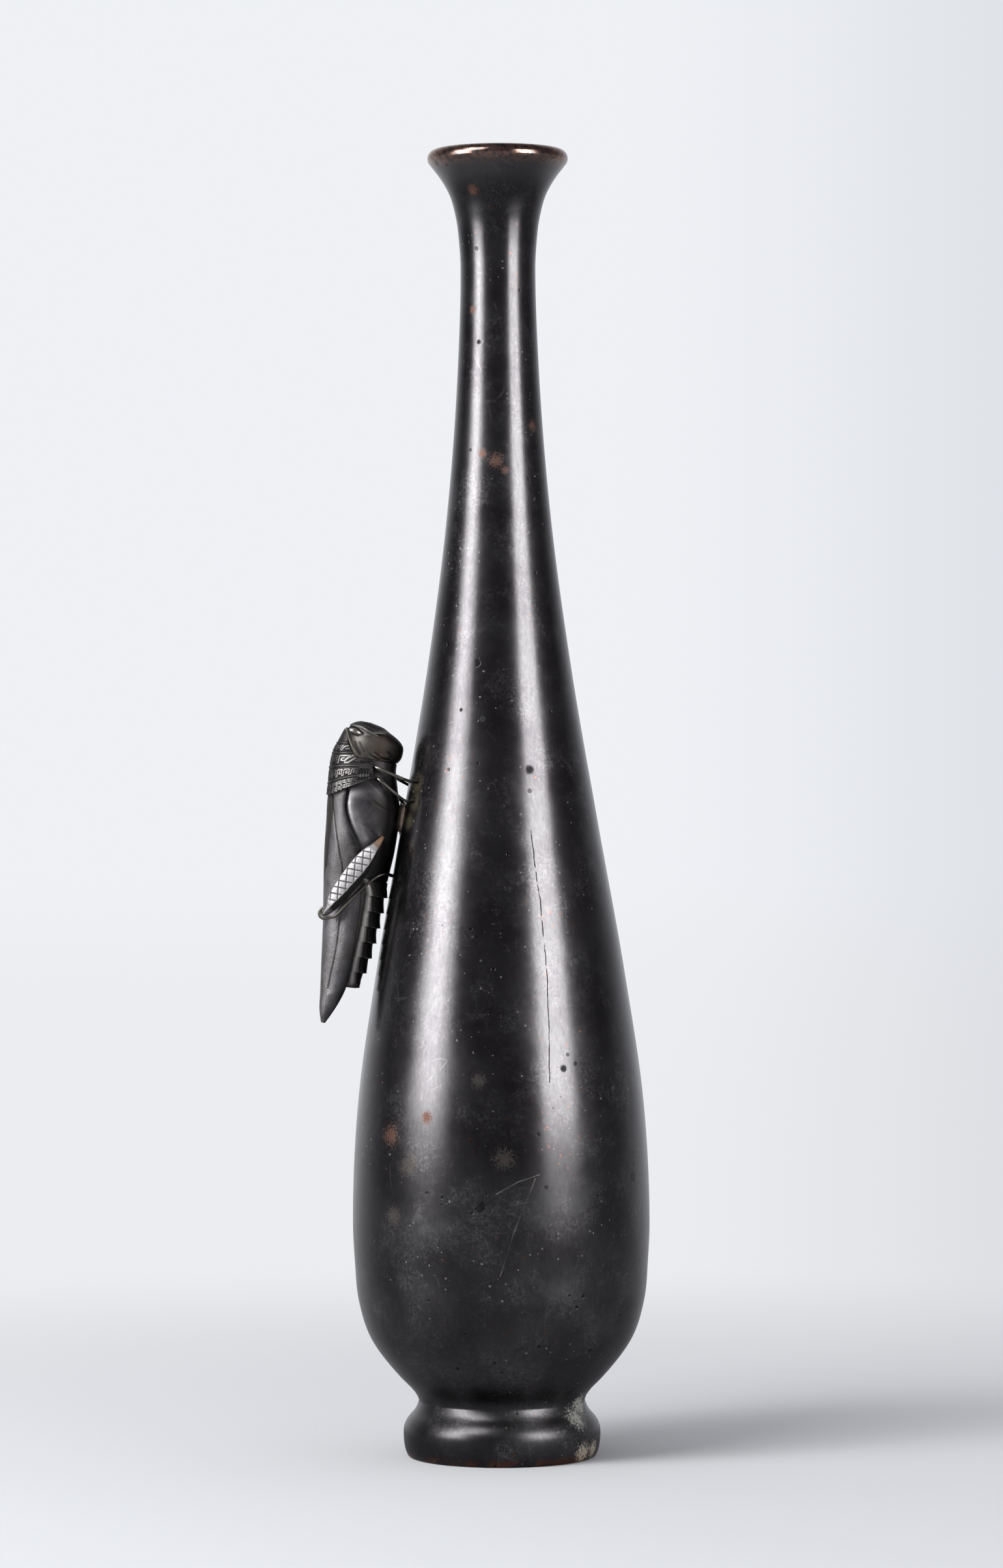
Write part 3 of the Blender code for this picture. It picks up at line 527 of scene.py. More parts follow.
def close_tree(geometry, material, end):
    """End a tree the way every piece needs it: smooth, realized, with its material."""
    smooth_faces = add(geometry.tree, "GeometryNodeSetShadeSmooth", Geometry=geometry)
    real = add(geometry.tree, "GeometryNodeRealizeInstances", Geometry=smooth_faces)
    connect(add(geometry.tree, "GeometryNodeSetMaterial", Geometry=real, Material=material), end)


turned_tree, given, end = geometry_tree("turned body", {
    "Outline": "Object", "Steps": "Int", "Material": "Material"})
outline = add(turned_tree, "GeometryNodeObjectInfo", {"transform_space": "ORIGINAL"},
              Object=given["Outline"])
path = add(turned_tree, "GeometryNodeCurvePrimitiveCircle", Resolution=given["Steps"],
           Radius=0.001 * MM)
upright = add(turned_tree, "GeometryNodeSetCurveNormal", {"mode": "Z_UP"}, Curve=path)
body = add(turned_tree, "GeometryNodeCurveToMesh", Curve=upright, Profile_Curve=outline["Geometry"])
close_tree(body, given["Material"], end)


def grow(name, tree, source, **inputs):
    """Run a tree on an object (or on nothing) and keep the result as a plain mesh object."""
    holder = source or link_new(name + "_holder", bpy.data.meshes.new(name))
    nodes = holder.modifiers.new("tree", "NODES")
    nodes.node_group = tree
    for item in tree.interface.items_tree:
        if item.in_out == "INPUT" and item.name in inputs:
            nodes[item.identifier] = inputs[item.name]
    bpy.context.view_layer.update()
    depsgraph = bpy.context.evaluated_depsgraph_get()
    mesh = bpy.data.meshes.new_from_object(holder.evaluated_get(depsgraph), depsgraph=depsgraph)
    mesh.name = name
    bpy.data.objects.remove(holder, do_unlink=True)
    return piece(name, mesh)


def link_new(name, data):
    """New object in the scene."""
    obj = bpy.data.objects.new(name, data)
    bpy.context.scene.collection.objects.link(obj)
    return obj


def piece(name, mesh):
    """Link a mesh as a piece of the object, faces outwards."""
    bm = bmesh.new()
    bm.from_mesh(mesh)
    bmesh.ops.recalc_face_normals(bm, faces=bm.faces)
    bm.to_mesh(mesh)
    bm.free()
    return link_new(name, mesh)


def seat_on_frame(obj, node, material=None):
    """Let a finished piece ride on the body and stand for its solid."""
    if material is not None:
        obj.data.materials.append(material)
    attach(obj, "root")
    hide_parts(node)
    print(obj.name, "triangles:", sum(len(p.vertices) - 2 for p in obj.data.polygons))


def poly_curve(name, points, radii=None, closed=False):
    """Curve object of straight runs through points, with a radius at each if given."""
    data = bpy.data.curves.new(name, "CURVE")
    data.dimensions = "3D"
    spline = data.splines.new("POLY")
    spline.points.add(len(points) - 1)
    for point, place in zip(spline.points, points):
        point.co = (*place, 1)
    for point, radius in zip(spline.points, radii or ()):
        point.radius = radius
    spline.use_cyclic_u = closed
    return link_new(name, data)


def turn_body(name, points, steps, material):
    """Body turned from an outline of (radius, height), which is swept upright."""
    curve = poly_curve(name + "_outline", [(r, -z, 0) for r, z in points], closed=True)
    made = grow(name, turned_tree, None, Outline=curve, Steps=steps, Material=material)
    bpy.data.objects.remove(curve, do_unlink=True)
    return made


# %% [markdown]
# ## Effects that the metals share
#
# Old patinated bronze is never even. It has soft clouds where hands rubbed it, fine
# pits from the casting, hair-thin scratches and spots of bare or stained metal. Each of
# these is a node group here, so that bottle, insect and base plate are one material
# family with different amounts.

# %% Clouds, pits and scratches
clouds, given, out = new_group("patina clouds", {"Place": None, "Scale": 60.0, "Sharpness": 0.15},
                               ("Cloud", "Fine"))
broad = noise(given["Place"], given["Scale"], 5.0, 0.6)
low, high = 0.5 - given["Sharpness"], 0.5 + given["Sharpness"]
connect(ramp(broad, low, high, kind="LINEAR"), out["Cloud"])
connect(noise(given["Place"], given["Scale"] * 14.0, 3.0, 0.65), out["Fine"])

pits, given, out = new_group("casting pits", {"Place": None, "Scale": 700.0, "Share": 0.12},
                             ("Pit",))
cells = add(pits, "ShaderNodeTexVoronoi", {"feature": "F1"}, Vector=given["Place"],
            Scale=given["Scale"], Randomness=1.0)
chosen = add(pits, "ShaderNodeSeparateColor", Color=cells["Color"])
size = chosen / given["Share"] * 0.28
keep = calc("LESS_THAN", chosen, given["Share"])
connect(ramp(cells["Distance"], size + 0.05, size) * keep, out["Pit"])

scratches, given, out = new_group("hair scratches", {
    "Place": None, "Scale": 90.0, "Stretch": 18.0, "Lean": 0.5}, ("Scratch",))
warp = noise(given["Place"], 70.0, 1.0)["Color"]
bent = vector("ADD", given["Place"], vector("SCALE", warp, Scale=0.006))
angle = add(scratches, "ShaderNodeCombineXYZ", X=given["Lean"], Y=given["Lean"])
turned_place = add(scratches, "ShaderNodeVectorRotate", {"rotation_type": "EULER_XYZ"},
                   Vector=bent, Rotation=angle)
thin = given["Scale"] / given["Stretch"]
squeeze = add(scratches, "ShaderNodeCombineXYZ", X=given["Scale"], Y=given["Scale"], Z=thin)
lines = add(scratches, "ShaderNodeTexVoronoi", {"feature": "DISTANCE_TO_EDGE"},
            Vector=vector("MULTIPLY", turned_place, squeeze), Scale=1.0)
hair = ramp(lines["Distance"], 0.0, 0.018, 1.0, 0.0)
broken = ramp(noise(given["Place"], 160.0, 2.0), 0.56, 0.70)
connect(hair * broken, out["Scratch"])

# %% [markdown]
# Single marks are put where the photograph shows them: a round stain, patches of bare
# copper, a pale crust on the foot, a long hair crack. A spot is the distance to a point,
# roughened by noise so that it has no compass-drawn edge. A crack is the distance to a
# short straight run, and several runs follow each other.

# %% Spots and cracks
spot, given, out = new_group("stain spot", {
    "Place": None, "Centre": None, "Size": 0.001, "Ragged": 0.5, "Soft": 0.3}, ("Mask",))
uneven = noise(given["Place"], 4.6 / given["Size"], 4.0, 0.7) - 0.5
share = vector("DISTANCE", given["Place"], given["Centre"]) / given["Size"]
share = share + uneven * 3.0 * given["Ragged"]
connect(ramp(share, 1.0 + given["Soft"], 1.0 - given["Soft"]), out["Mask"])

crack, given, out = new_group("crack run", {
    "Place": None, "From": None, "To": None, "Width": 0.0001, "Wander": 0.0004}, ("Mask",))
shake = vector("SUBTRACT", noise(given["Place"], 420.0, 2.0)["Color"], (0.5, 0.5, 0.5))
shaken = vector("ADD", given["Place"], vector("SCALE", shake, Scale=given["Wander"]))
run = vector("SUBTRACT", given["To"], given["From"])
away = vector("SUBTRACT", shaken, given["From"])
part = calc("DIVIDE", vector("DOT_PRODUCT", away, run), vector("DOT_PRODUCT", run, run), clamp=True)
apart = vector("DISTANCE", away, vector("SCALE", run, Scale=part))
connect(ramp(apart, given["Width"], 0.0), out["Mask"])


# %% Where a mark in the picture lies on the bottle
SIGHT_STEPS = 900


def on_bottle(column, row):
    """Place on the bottle's front where the sight line through a pixel first meets it."""
    ray = sight(column, row)
    near = (CAMERA_DISTANCE - 1.05 * BELLY_RADIUS) / ray.y
    far = CAMERA_DISTANCE / ray.y
    for step in np.linspace(near, far, SIGHT_STEPS):
        found = camera_spot + ray * float(step)
        if math.hypot(found.x, found.y) <= outer_radius(found.z):
            break
    return found


def marks(where, places, ragged, soft):
    """One mask of many spots, each at a place in the picture with its size in mm."""
    return highest(*(use_group(spot, where, Centre=on_bottle(column, row), Size=size_mm * MM,
                               Ragged=ragged, Soft=soft) for column, row, size_mm in places))


def runs(where, paths, width_mm, wander_mm):
    """One mask of thin lines through places in the picture."""
    return highest(*(use_group(crack, where, From=on_bottle(*start), To=on_bottle(*end),
                               Width=width_mm * MM, Wander=wander_mm * MM)
                     for path in paths for start, end in zip(path, path[1:])))


print("shared effects:", ", ".join(group.name for group in (clouds, pits, scratches, spot, crack)))

# %% [markdown]
# ## Patina of the bottle
#
# The patina is almost black, a little warm, and mirrors like old lacquered metal: the
# base colour of a metallic shader is its mirror strength, so it stays low. Clouds change
# the roughness more than the colour, because it is gloss that varies on a rubbed
# surface. The lip is rubbed through to copper-red, and more so inside and on its crown.

# %% Colours and marks of the bottle
PATINA = (0.101, 0.0985, 0.102)
PATINA_DEEP = (0.067, 0.063, 0.067)
HAZE = (0.175, 0.170, 0.176)
COPPER = (0.27, 0.115, 0.065)
COPPER_WORN = (0.34, 0.215, 0.17)
COPPER_DARK = (0.10, 0.05, 0.038)
CRUST = (0.46, 0.46, 0.41)
CRUST_TAN = (0.48, 0.42, 0.32)
OLIVE = (0.17, 0.145, 0.085)
# Near-black: soot in pits, cracks and dark marks, and painted shade round the belly, under the
# flare and at the leg holes.
SOOT_AND_SHADE = (0.018, 0.018, 0.019)
STREAK_PALE = (0.150, 0.147, 0.150)
STREAK_DARK = (0.040, 0.038, 0.039)
DUST = (0.25, 0.235, 0.22)
GREY_STAIN = (0.165, 0.145, 0.125)
RED_SPECK = (0.16, 0.085, 0.062)
HAIRLINE = (0.24, 0.23, 0.225)
SCRATCHED = (0.22, 0.205, 0.19)

# Heights in metres between which something fades in, or in and out again.
FLARE_SHADE = (0.264, 0.272, 0.285, 0.279)
UNDER_LIP = (0.279, 0.286, 0.289, 0.2875)
BELLY_SHADE = (0.086, 0.066, 0.030, 0.045)
LOW_BODY = (0.083, 0.038)
FLARE_DULL = (0.268, 0.278)
FOOT_DARK = (0.022, 0.016)
FOOT_GLOSS = (0.022, 0.015)
FOOT_RIM = (0.0022, 0.0008)
LIP_WORN = (BOTTLE_HEIGHT - 5.2 * MM, BOTTLE_HEIGHT - 1.6 * MM)

# Places in the picture (column, row), for spots with their size in mm.
COPPER_MARKS = ((600, 1743, 1.9), (655, 1716, 1.1), (726, 291, 1.0), (726, 476, 0.7),
                (818, 654, 1.0), (762, 707, 1.3), (741, 696, 0.8), (775, 722, 0.7),
                (838, 706, 0.7))
DARK_MARKS = ((813, 1182, 0.9), (735, 525, 0.5), (865, 1641, 0.7), (741, 1104, 0.5),
              (708, 1090, 0.4))
CRUST_MARKS = ((888, 2156, 2.3), (884, 2178, 2.2))
TAN_MARKS = ((897, 2233, 2.0), (912, 2226, 1.7))
GREY_MARKS = ((626, 1790, 2.0), (604, 1868, 1.8), (775, 1780, 1.9), (735, 1660, 1.4))
OLIVE_MARKS = ((640, 1205, 2.4), (636, 1232, 2.2), (628, 1262, 2.0))
CRACK_PATH = ((815, 1275), (825, 1357), (829, 1380), (840, 1500), (843, 1590), (844, 1662))
SCRATCH_PATHS = (((822, 1810), (790, 1890), (768, 1960)), ((828, 1804), (796, 1815), (762, 1834)),
                 ((690, 560), (700, 640)))


def band(height, in_from, in_by, out_from, out_by):
    """Ring round the bottle that fades in and out between heights."""
    return ramp(height, in_from, in_by) * ramp(height, out_from, out_by)


# %% Wear of the bottle
body_patina, where, shader = metal("body_patina", 0.2)
height = split(where)["Z"]
mottle = use_group(clouds, where, Scale=70.0, Sharpness=0.16)
rubbed = use_group(clouds, where, Scale=24.0, Sharpness=0.2)
pitted = use_group(pits, where, Scale=620.0, Share=0.05)
big_pits = use_group(pits, where, Scale=210.0, Share=0.016)
hairs = highest(use_group(scratches, where, Scale=100.0, Stretch=14.0, Lean=0.35),
                use_group(scratches, where, Scale=150.0, Stretch=9.0, Lean=-0.9))
streaked = noise(vector("MULTIPLY", where, (1500, 1500, 420)), 1.0, 4.0, 0.65) - 0.5
dust = use_group(pits, where, Scale=1150.0, Share=0.13) * ramp(noise(where, 40.0), 0.40, 0.58)
bloom = (ramp(noise(where, 75.0, 7.0, 0.78), 0.45, 0.68)
         * ramp(noise(where, 1600.0, 3.0, 0.7), 0.36, 0.66))
haze = highest(bloom, band(height, *UNDER_LIP) * 0.55)
red_specks = (ramp(noise(where, 900.0, 2.0), 0.66, 0.74)
              * ramp(noise(where, 45.0, 2.0), 0.45, 0.58))

copper_marks = marks(where, COPPER_MARKS, 1.9, 0.45)
dark_marks = marks(where, DARK_MARKS, 0.7, 0.4)
grey_marks = marks(where, GREY_MARKS, 1.9, 0.45)
crumbled = ramp(noise(where, 1900.0, 3.0, 0.7), 0.38, 0.52)
crust_marks = marks(where, CRUST_MARKS, 1.3, 0.4) * crumbled
tan_marks = marks(where, TAN_MARKS, 1.2, 0.4) * crumbled
olive_marks = marks(where, OLIVE_MARKS, 0.7, 0.7)
cracked = (runs(where, (CRACK_PATH,), 0.13, 0.5)
           * ramp(noise(where, 190.0, 2.0), 0.36, 0.48, 0.5, 1.0))
scratched = runs(where, SCRATCH_PATHS, 0.24, 0.12)

# %% Bottle's tone
lip_share = ramp(height, *LIP_WORN)
lip_bare = lip_share * ramp(mottle["Fine"], 0.30, 0.55)
foot_bare = ramp(height, *FOOT_RIM) * ramp(noise(where, 160.0), 0.45, 0.6)
copper = blend(mottle["Fine"], COPPER_DARK, COPPER)
lip_copper = blend(ramp(mottle["Fine"], 0.20, 0.60), COPPER_DARK, COPPER_WORN)
tone = coats(
    blend(mottle["Cloud"], PATINA_DEEP, PATINA),
    (ramp(streaked, 0.0, 0.25, 0.0, 0.26), STREAK_PALE),
    (ramp(streaked, 0.0, -0.25, 0.0, 0.32), STREAK_DARK),
    # painted shade: a darker band round the belly
    (band(height, *BELLY_SHADE) * 0.25, SOOT_AND_SHADE),
    (ramp(height, *FOOT_DARK, 0.0, 0.35), SOOT_AND_SHADE),
    (haze * 0.6, HAZE),
    (dust * 0.6, DUST),
    (grey_marks * 0.45, GREY_STAIN),
    # painted shade: a darker band on the flare under the lip
    (band(height, *FLARE_SHADE) * 0.5, SOOT_AND_SHADE),
    (olive_marks * 0.65, OLIVE),
    (red_specks * 0.8, RED_SPECK),
    (foot_bare * 0.7, copper),
    (lip_bare * 0.9, lip_copper),
    (copper_marks * 0.6, copper),
    (hairs * 0.22, HAIRLINE),
    (scratched * 0.8, SCRATCHED),
    (pitted * 0.75, SOOT_AND_SHADE),
    (big_pits * 0.6, SOOT_AND_SHADE),
    (cracked * 0.7, SOOT_AND_SHADE),
    (dark_marks * 0.75, SOOT_AND_SHADE),
    (tan_marks, CRUST_TAN),
    (crust_marks, CRUST))

# %% Bottle's gloss and relief
glossy = highest(ramp(height, *FOOT_GLOSS, 0.0, 0.15), lip_share)
crusted = highest(crust_marks, tan_marks)
dull = highest(crusted, dark_marks, cracked, highest(copper_marks, olive_marks) * 0.7)
rough = (0.175 + mottle["Cloud"] * 0.05 + rubbed * 0.05 + ramp(height, *LOW_BODY) * 0.11
         - streaked * 0.04 + bloom * 0.05 + ramp(height, *FLARE_DULL) * 0.06 - glossy * 0.11
         + dull * 0.4)
dusty = highest(haze * 0.10 + dust * 0.5, crusted * 0.9, grey_marks * 0.2, scratched * 0.42,
                hairs * 0.12)
connect(calc("SUBTRACT", 1.0, dusty, clamp=True), shader["Metallic"])
relief = (noise(where, 38.0, 2.0, 0.4) * 0.00030 + noise(where, 1500.0, 2.0) * 0.000006
          + dust * 0.00002 - pitted * 0.00006 - big_pits * 0.00004 - hairs * 0.000008
          - cracked * 0.0001 + crusted * 0.0002)
dress(shader, tone, rough, relief, 0.6)

# %% Bottle
bottle = turn_body("bottle_cast", bottle_outline(), 220, body_patina)
seat_on_frame(bottle, "bottle_shell")
print("bottle box in mm:", [round(s / MM, 1) for s in bottle.dimensions])

# %% [markdown]
# ## Where the locust sits
#
# The insect lies along the slope of the wall, so it gets its own directions: along the
# body towards the head, outward from the wall, and sideways to its right, which is the
# side that faces the camera. Its body is a stack of rounded outlines. Three short
# tables say, in millimetres, where belly and back run and how wide the body is.

# %% The locust's own directions
SEAT_HEIGHT = 142.3 * MM
REACH_UP = 7.7 * MM
REACH_DOWN = 38.3 * MM


def on_side(z):
    """Point on the bottle's left side at a height."""
    return np.array((-outer_radius(z), 0.0, z))


seat = on_side(SEAT_HEIGHT)
chord = on_side(SEAT_HEIGHT + REACH_UP) - on_side(SEAT_HEIGHT - REACH_DOWN)
along = chord / np.linalg.norm(chord)
outward = np.array((-along[2], 0.0, along[0]))
lateral = np.array((0.0, -1.0, 0.0))


def to_world(s, d, w):
    """World points from mm along, out of and beside the seat (numbers or arrays)."""
    s, d, w = np.broadcast_arrays(*(np.asarray(v, float) for v in (s, d, w)))
    return seat + MM * (s[..., None] * along + d[..., None] * outward + w[..., None] * lateral)


lean = math.degrees(math.atan2(along[0], along[2]))
print("the wall's slope under the locust, in degrees:", round(lean, 1))

# %% Body outline
CHEST_LINE = ((19.25, 11.0), (18.6, 8.0), (17.7, 6.2), (16.6, 4.2), (15.3, 2.75), (13.7, 2.35),
              (12.1, 2.6), (10.9, 3.25), (9.5, 3.2), (7.7, 2.75), (4.2, 1.75), (1.6, 1.0),
              (-2.1, 0.6), (-7.9, 0.5), (-12.4, 0.75), (-16.7, 1.05), (-23.9, 1.45), (-29.9, 2.0),
              (-35.1, 2.75), (-39.6, 4.1), (-42.9, 6.0), (-46.4, 7.8), (-48.3, 9.05))
BACK_LINE = ((19.25, 12.6), (18.75, 13.9), (17.9, 14.95), (16.9, 15.3), (14.8, 15.8),
             (11.6, 16.7), (8.1, 16.85), (5.1, 16.65), (2.1, 16.45), (-3.3, 15.75), (-10.5, 15.0),
             (-17.7, 13.95), (-26.2, 12.65), (-35.9, 11.4), (-41.9, 10.6), (-45.5, 10.15),
             (-48.3, 9.35))
WIDTH_LINE = ((19.25, 1.6), (18.7, 2.9), (17.8, 3.9), (16.3, 4.6), (14.1, 5.0), (11.0, 5.3),
              (8.0, 5.6), (3.0, 5.9), (-4.0, 5.9), (-10.0, 5.6), (-15.0, 5.1), (-20.0, 4.7),
              (-25.0, 4.4), (-30.0, 4.0), (-35.0, 3.3), (-39.6, 2.4), (-43.5, 1.6), (-48.3, 0.6))
ROUNDNESS = 2.2
GAP = 0.3
SIDES = (("right", 1.0), ("left", -1.0))


def section(s):
    """Middle, half depth and half width of the body at a place along it."""
    low, high = smooth(CHEST_LINE, s), smooth(BACK_LINE, s)
    return (low + high) / 2, (high - low) / 2, smooth(WIDTH_LINE, s)


def signed_power(x, power):
    """Power of a number's size that keeps its sign."""
    return np.sign(x) * np.abs(x) ** power


def skin(s, turn, lift=0.0):
    """Point (d, w) on the body's rounded outline; turn 0 is the right side, 90 the back."""
    middle, deep, wide = section(s)
    d = middle + signed_power(np.sin(turn), 2 / ROUNDNESS) * (deep + lift)
    return d, signed_power(np.cos(turn), 2 / ROUNDNESS) * (wide + lift)


def side_width(s, d, lift=0.0):
    """Half width of the outline at a height over the wall."""
    middle, deep, wide = section(s)
    rest = 1 - np.minimum(1.0, np.abs((d - middle) / (deep + lift))) ** ROUNDNESS
    return (wide + lift) * rest ** (1 / ROUNDNESS)


def turn_at(s, d, lift=0.0):
    """Turn about the body where its outline is at a height over the wall."""
    middle, deep, _ = section(s)
    share = np.clip((d - middle) / (deep + lift), -1.0, 1.0)
    return np.arcsin(signed_power(share, ROUNDNESS / 2))


print("body from", BACK_LINE[-1][0], "to", BACK_LINE[0][0], "mm along the wall")


# %% [markdown]
# ## Meshes with relief
#
# Chased ornament is geometry here, not only bump: a plate or a ring-built body gets a
# fine grid of points, and each point is pushed in or out by a relief. The same numbers
# are kept on the mesh as two attributes, one for high places and one for cuts, so that the
# metal can be rubbed bright on the high places and stay dark in the cuts, which is what
# makes old chasing readable. The first also carries painted highlights where a lamp
# catches a face, the second painted shade; a third attribute holds more painted shade.

# %% Relief helpers
def near_path(s, d, path):
    """Distance in mm from every point to a path of straight runs in the side view."""
    best = np.full(np.broadcast(s, d).shape, 1e9)
    for (s0, d0), (s1, d1) in zip(path, path[1:]):
        run_s, run_d = s1 - s0, d1 - d0
        t = np.clip(((s - s0) * run_s + (d - d0) * run_d) / (run_s**2 + run_d**2), 0, 1)
        best = np.minimum(best, np.hypot(s - s0 - t * run_s, d - d0 - t * run_d))
    return best


def curved(path, steps=8):
    """More points on a smooth curve through a path's points."""
    pts = np.array([tuple(p) for p in path], float)
    pts = np.vstack([2 * pts[0] - pts[1], pts, 2 * pts[-1] - pts[-2]])
    out = []
    for a, b, c, d in zip(pts, pts[1:], pts[2:], pts[3:]):
        for t in np.arange(steps) / steps:
            out.append(0.5 * (2 * b + (c - a) * t + (2 * a - 5 * b + 4 * c - d) * t**2
                              + (3 * b - a - 3 * c + d) * t**3))
    return out + [pts[-2]]


def bell(distance, width):
    """Soft bump of height 1 that has fallen to a third at its width."""
    return np.exp(-(distance / width) ** 2)


def between(x, low, high):
    """Smooth step from 0 at low to 1 at high."""
    t = np.clip((x - low) / (high - low), 0, 1)
    return t * t * (3 - 2 * t)


def trace(s, d, path, width):
    """1 on a path in the side view, falling off softly beside it."""
    return bell(near_path(s, d, path), width)


def traces(s, d, paths, width):
    """The same along several paths, each rounded first."""
    return sum(trace(s, d, curved(path), width) for path in paths)


def dome(s, d, at_s, at_d, wide_s, wide_d):
    """Soft bump round one place in the side view."""
    return bell(np.hypot((s - at_s) / wide_s, (d - at_d) / wide_d), 1.0)


def around(count):
    """Turns evenly spaced round a full circle."""
    return np.linspace(0, 2 * math.pi, count, endpoint=False)


def columns(table):
    """A table's columns, each as an upright array that can be spread round a body."""
    return [np.array(column, float)[:, None] for column in zip(*table)]


# %% Grids of points made into meshes
def keep_masks(mesh, masks):
    """Store numbers on a mesh's points; the last points get none."""
    for name, values in masks.items():
        layer = mesh.attributes.new(name, "FLOAT", "POINT")
        flat = np.zeros(len(mesh.vertices), np.float32)
        values = np.asarray(values, np.float32).ravel()
        flat[:values.size] = values
        layer.data.foreach_set("value", flat)


def surface(name, points, faces, masks):
    """Closed mesh piece from points and faces, smooth but for its sharp rims."""
    mesh = bpy.data.meshes.new(name)
    mesh.from_pydata(points.reshape(-1, 3).tolist(), [], faces)
    keep_masks(mesh, masks)
    made = piece(name, mesh)
    mesh.shade_smooth()
    mesh.set_sharp_from_angle(angle=math.radians(50))
    return made


def plate(name, outside, inside, **masks):
    """Closed curved plate between an outer and an inner grid of world points."""
    rows, cols = outside.shape[:2]
    number = np.arange(rows * cols).reshape(rows, cols)
    under = rows * cols
    top = np.stack([number[:-1, :-1], number[1:, :-1], number[1:, 1:], number[:-1, 1:]], -1)
    top = top.reshape(-1, 4)
    rim = np.concatenate([number[0], number[1:, -1], number[-1, -2::-1], number[-2:0:-1, 0]])
    ahead = np.roll(rim, -1)
    sides = np.stack([rim, ahead, ahead + under, rim + under], -1)
    faces = np.concatenate([top, top[:, ::-1] + under, sides]).tolist()
    points = np.concatenate([outside.reshape(-1, 3), inside.reshape(-1, 3)])
    return surface(name, points, faces, masks)


def loft(name, rings, **masks):
    """Closed body through rings of world points, each end fanned to its middle."""
    rows, cols = rings.shape[:2]
    number = np.arange(rows * cols).reshape(rows, cols)
    beside = np.roll(number, -1, 1)
    walls = np.stack([number[:-1], beside[:-1], beside[1:], number[1:]], -1).reshape(-1, 4).tolist()
    first, last = rows * cols, rows * cols + 1
    walls += [[first, int(b), int(a)] for a, b in zip(number[0], beside[0])]
    walls += [[last, int(a), int(b)] for a, b in zip(number[-1], beside[-1])]
    points = np.concatenate([rings.reshape(-1, 3), rings[:1].mean(1), rings[-1:].mean(1)])
    return surface(name, points, walls, masks)


# %% [markdown]
# ## The locust's metals
#
# The insect is a lighter bronze than the bottle: satin grey with a breath of violet,
# browner and more olive at head and neck, almost black in its cuts. One helper builds
# all of its metals from the shared clouds, pits and scratches, and reads the attributes
# for wear with painted highlights, for cuts with painted shade, for brown, and for more
# painted shade. Wing, collar and body differ only in their values.

# %% Locust metals
# Near-black for cuts and pits, and for painted shade on the insect and on its wires by the wall.
CUT_AND_SHADE_BLACK = (0.020, 0.019, 0.019)
VERDIGRIS = (0.17, 0.16, 0.105)
RUSSET = (0.046, 0.030, 0.024)
OLIVE_BROWN = (0.075, 0.066, 0.050)


def mask(tree, name):
    """A mesh's own numbers, by name."""
    return add(tree, "ShaderNodeAttribute", {"attribute_name": name})["Fac"]


def insect_metal(name, dark, light, worn_and_lit, rough, stain_share, tint=RUSSET, grain=0.4):
    """Satin bronze: mottling, stains, dark cuts, rubbed high places, painted light and shade."""
    material, where, shader = metal(name, rough)
    own = ("raised", "groove", "brown", "soot")
    raised, groove, brown, soot = (mask(where.tree, each) for each in own)
    mottle = use_group(clouds, where, Scale=300.0, Sharpness=0.14)
    patches = use_group(clouds, where, Scale=95.0, Sharpness=0.08)
    pitted = use_group(pits, where, Scale=2400.0, Share=0.10)
    hairs = use_group(scratches, where, Scale=420.0, Stretch=7.0, Lean=0.6)
    stained = patches["Cloud"] * mottle["Fine"] * stain_share
    tone = coats(
        blend(mottle["Cloud"], dark, light),
        (stained, VERDIGRIS),
        (ramp(mottle["Fine"], 0.55, 0.35, 0.0, 0.45), dark),
        (brown, tint),
        # painted shade, and some darker patina, where a mesh marks it
        (soot * 0.9, CUT_AND_SHADE_BLACK),
        # wear and painted highlight where a mesh marks it
        (calc("MULTIPLY", raised, 0.85, clamp=True), worn_and_lit),
        (hairs * 0.10, worn_and_lit),
        (pitted * 0.5, CUT_AND_SHADE_BLACK),
        # dark cuts, and painted shade, where a mesh marks them
        (calc("MULTIPLY", groove, 0.92, clamp=True), CUT_AND_SHADE_BLACK))
    gloss = (rough + mottle["Cloud"] * 0.10 + stained * 0.25
             + calc("MULTIPLY", groove, 0.3, clamp=True)
             - calc("MULTIPLY", raised, 0.03, clamp=True))
    height = (noise(where, 260.0, 2.0) * 0.00012
              + noise(where, 2600.0, 3.0, 0.6) * (0.00003 * grain)
              - pitted * 0.00003 - hairs * 0.00001)
    dress(shader, tone, gloss, height)
    return material


wing_metal = insect_metal("wing_patina", (0.105, 0.101, 0.111), (0.205, 0.198, 0.213),
                          (0.42, 0.41, 0.42), 0.42, 0.40, OLIVE_BROWN, grain=2.2)
chest_metal = insect_metal("chest_patina", (0.070, 0.067, 0.073), (0.135, 0.129, 0.140),
                           (0.50, 0.485, 0.50), 0.38, 0.10)
belly_metal = insect_metal("belly_patina", (0.045, 0.043, 0.043), (0.095, 0.090, 0.090),
                           (0.66, 0.63, 0.61), 0.42, 0.25, grain=3.0)
head_metal = insect_metal("head_patina", (0.048, 0.044, 0.045), (0.107, 0.099, 0.106),
                          (0.27, 0.255, 0.25), 0.47, 0.45)
collar_metal = insect_metal("collar_patina", (0.040, 0.038, 0.040), (0.075, 0.071, 0.075),
                            (0.36, 0.345, 0.34), 0.42, 0.15)
thigh_metal = insect_metal("thigh_patina", (0.16, 0.155, 0.16), (0.24, 0.232, 0.238),
                           (0.44, 0.43, 0.44), 0.46, 0.1, grain=1.8)
print("materials so far:", len(bpy.data.materials))

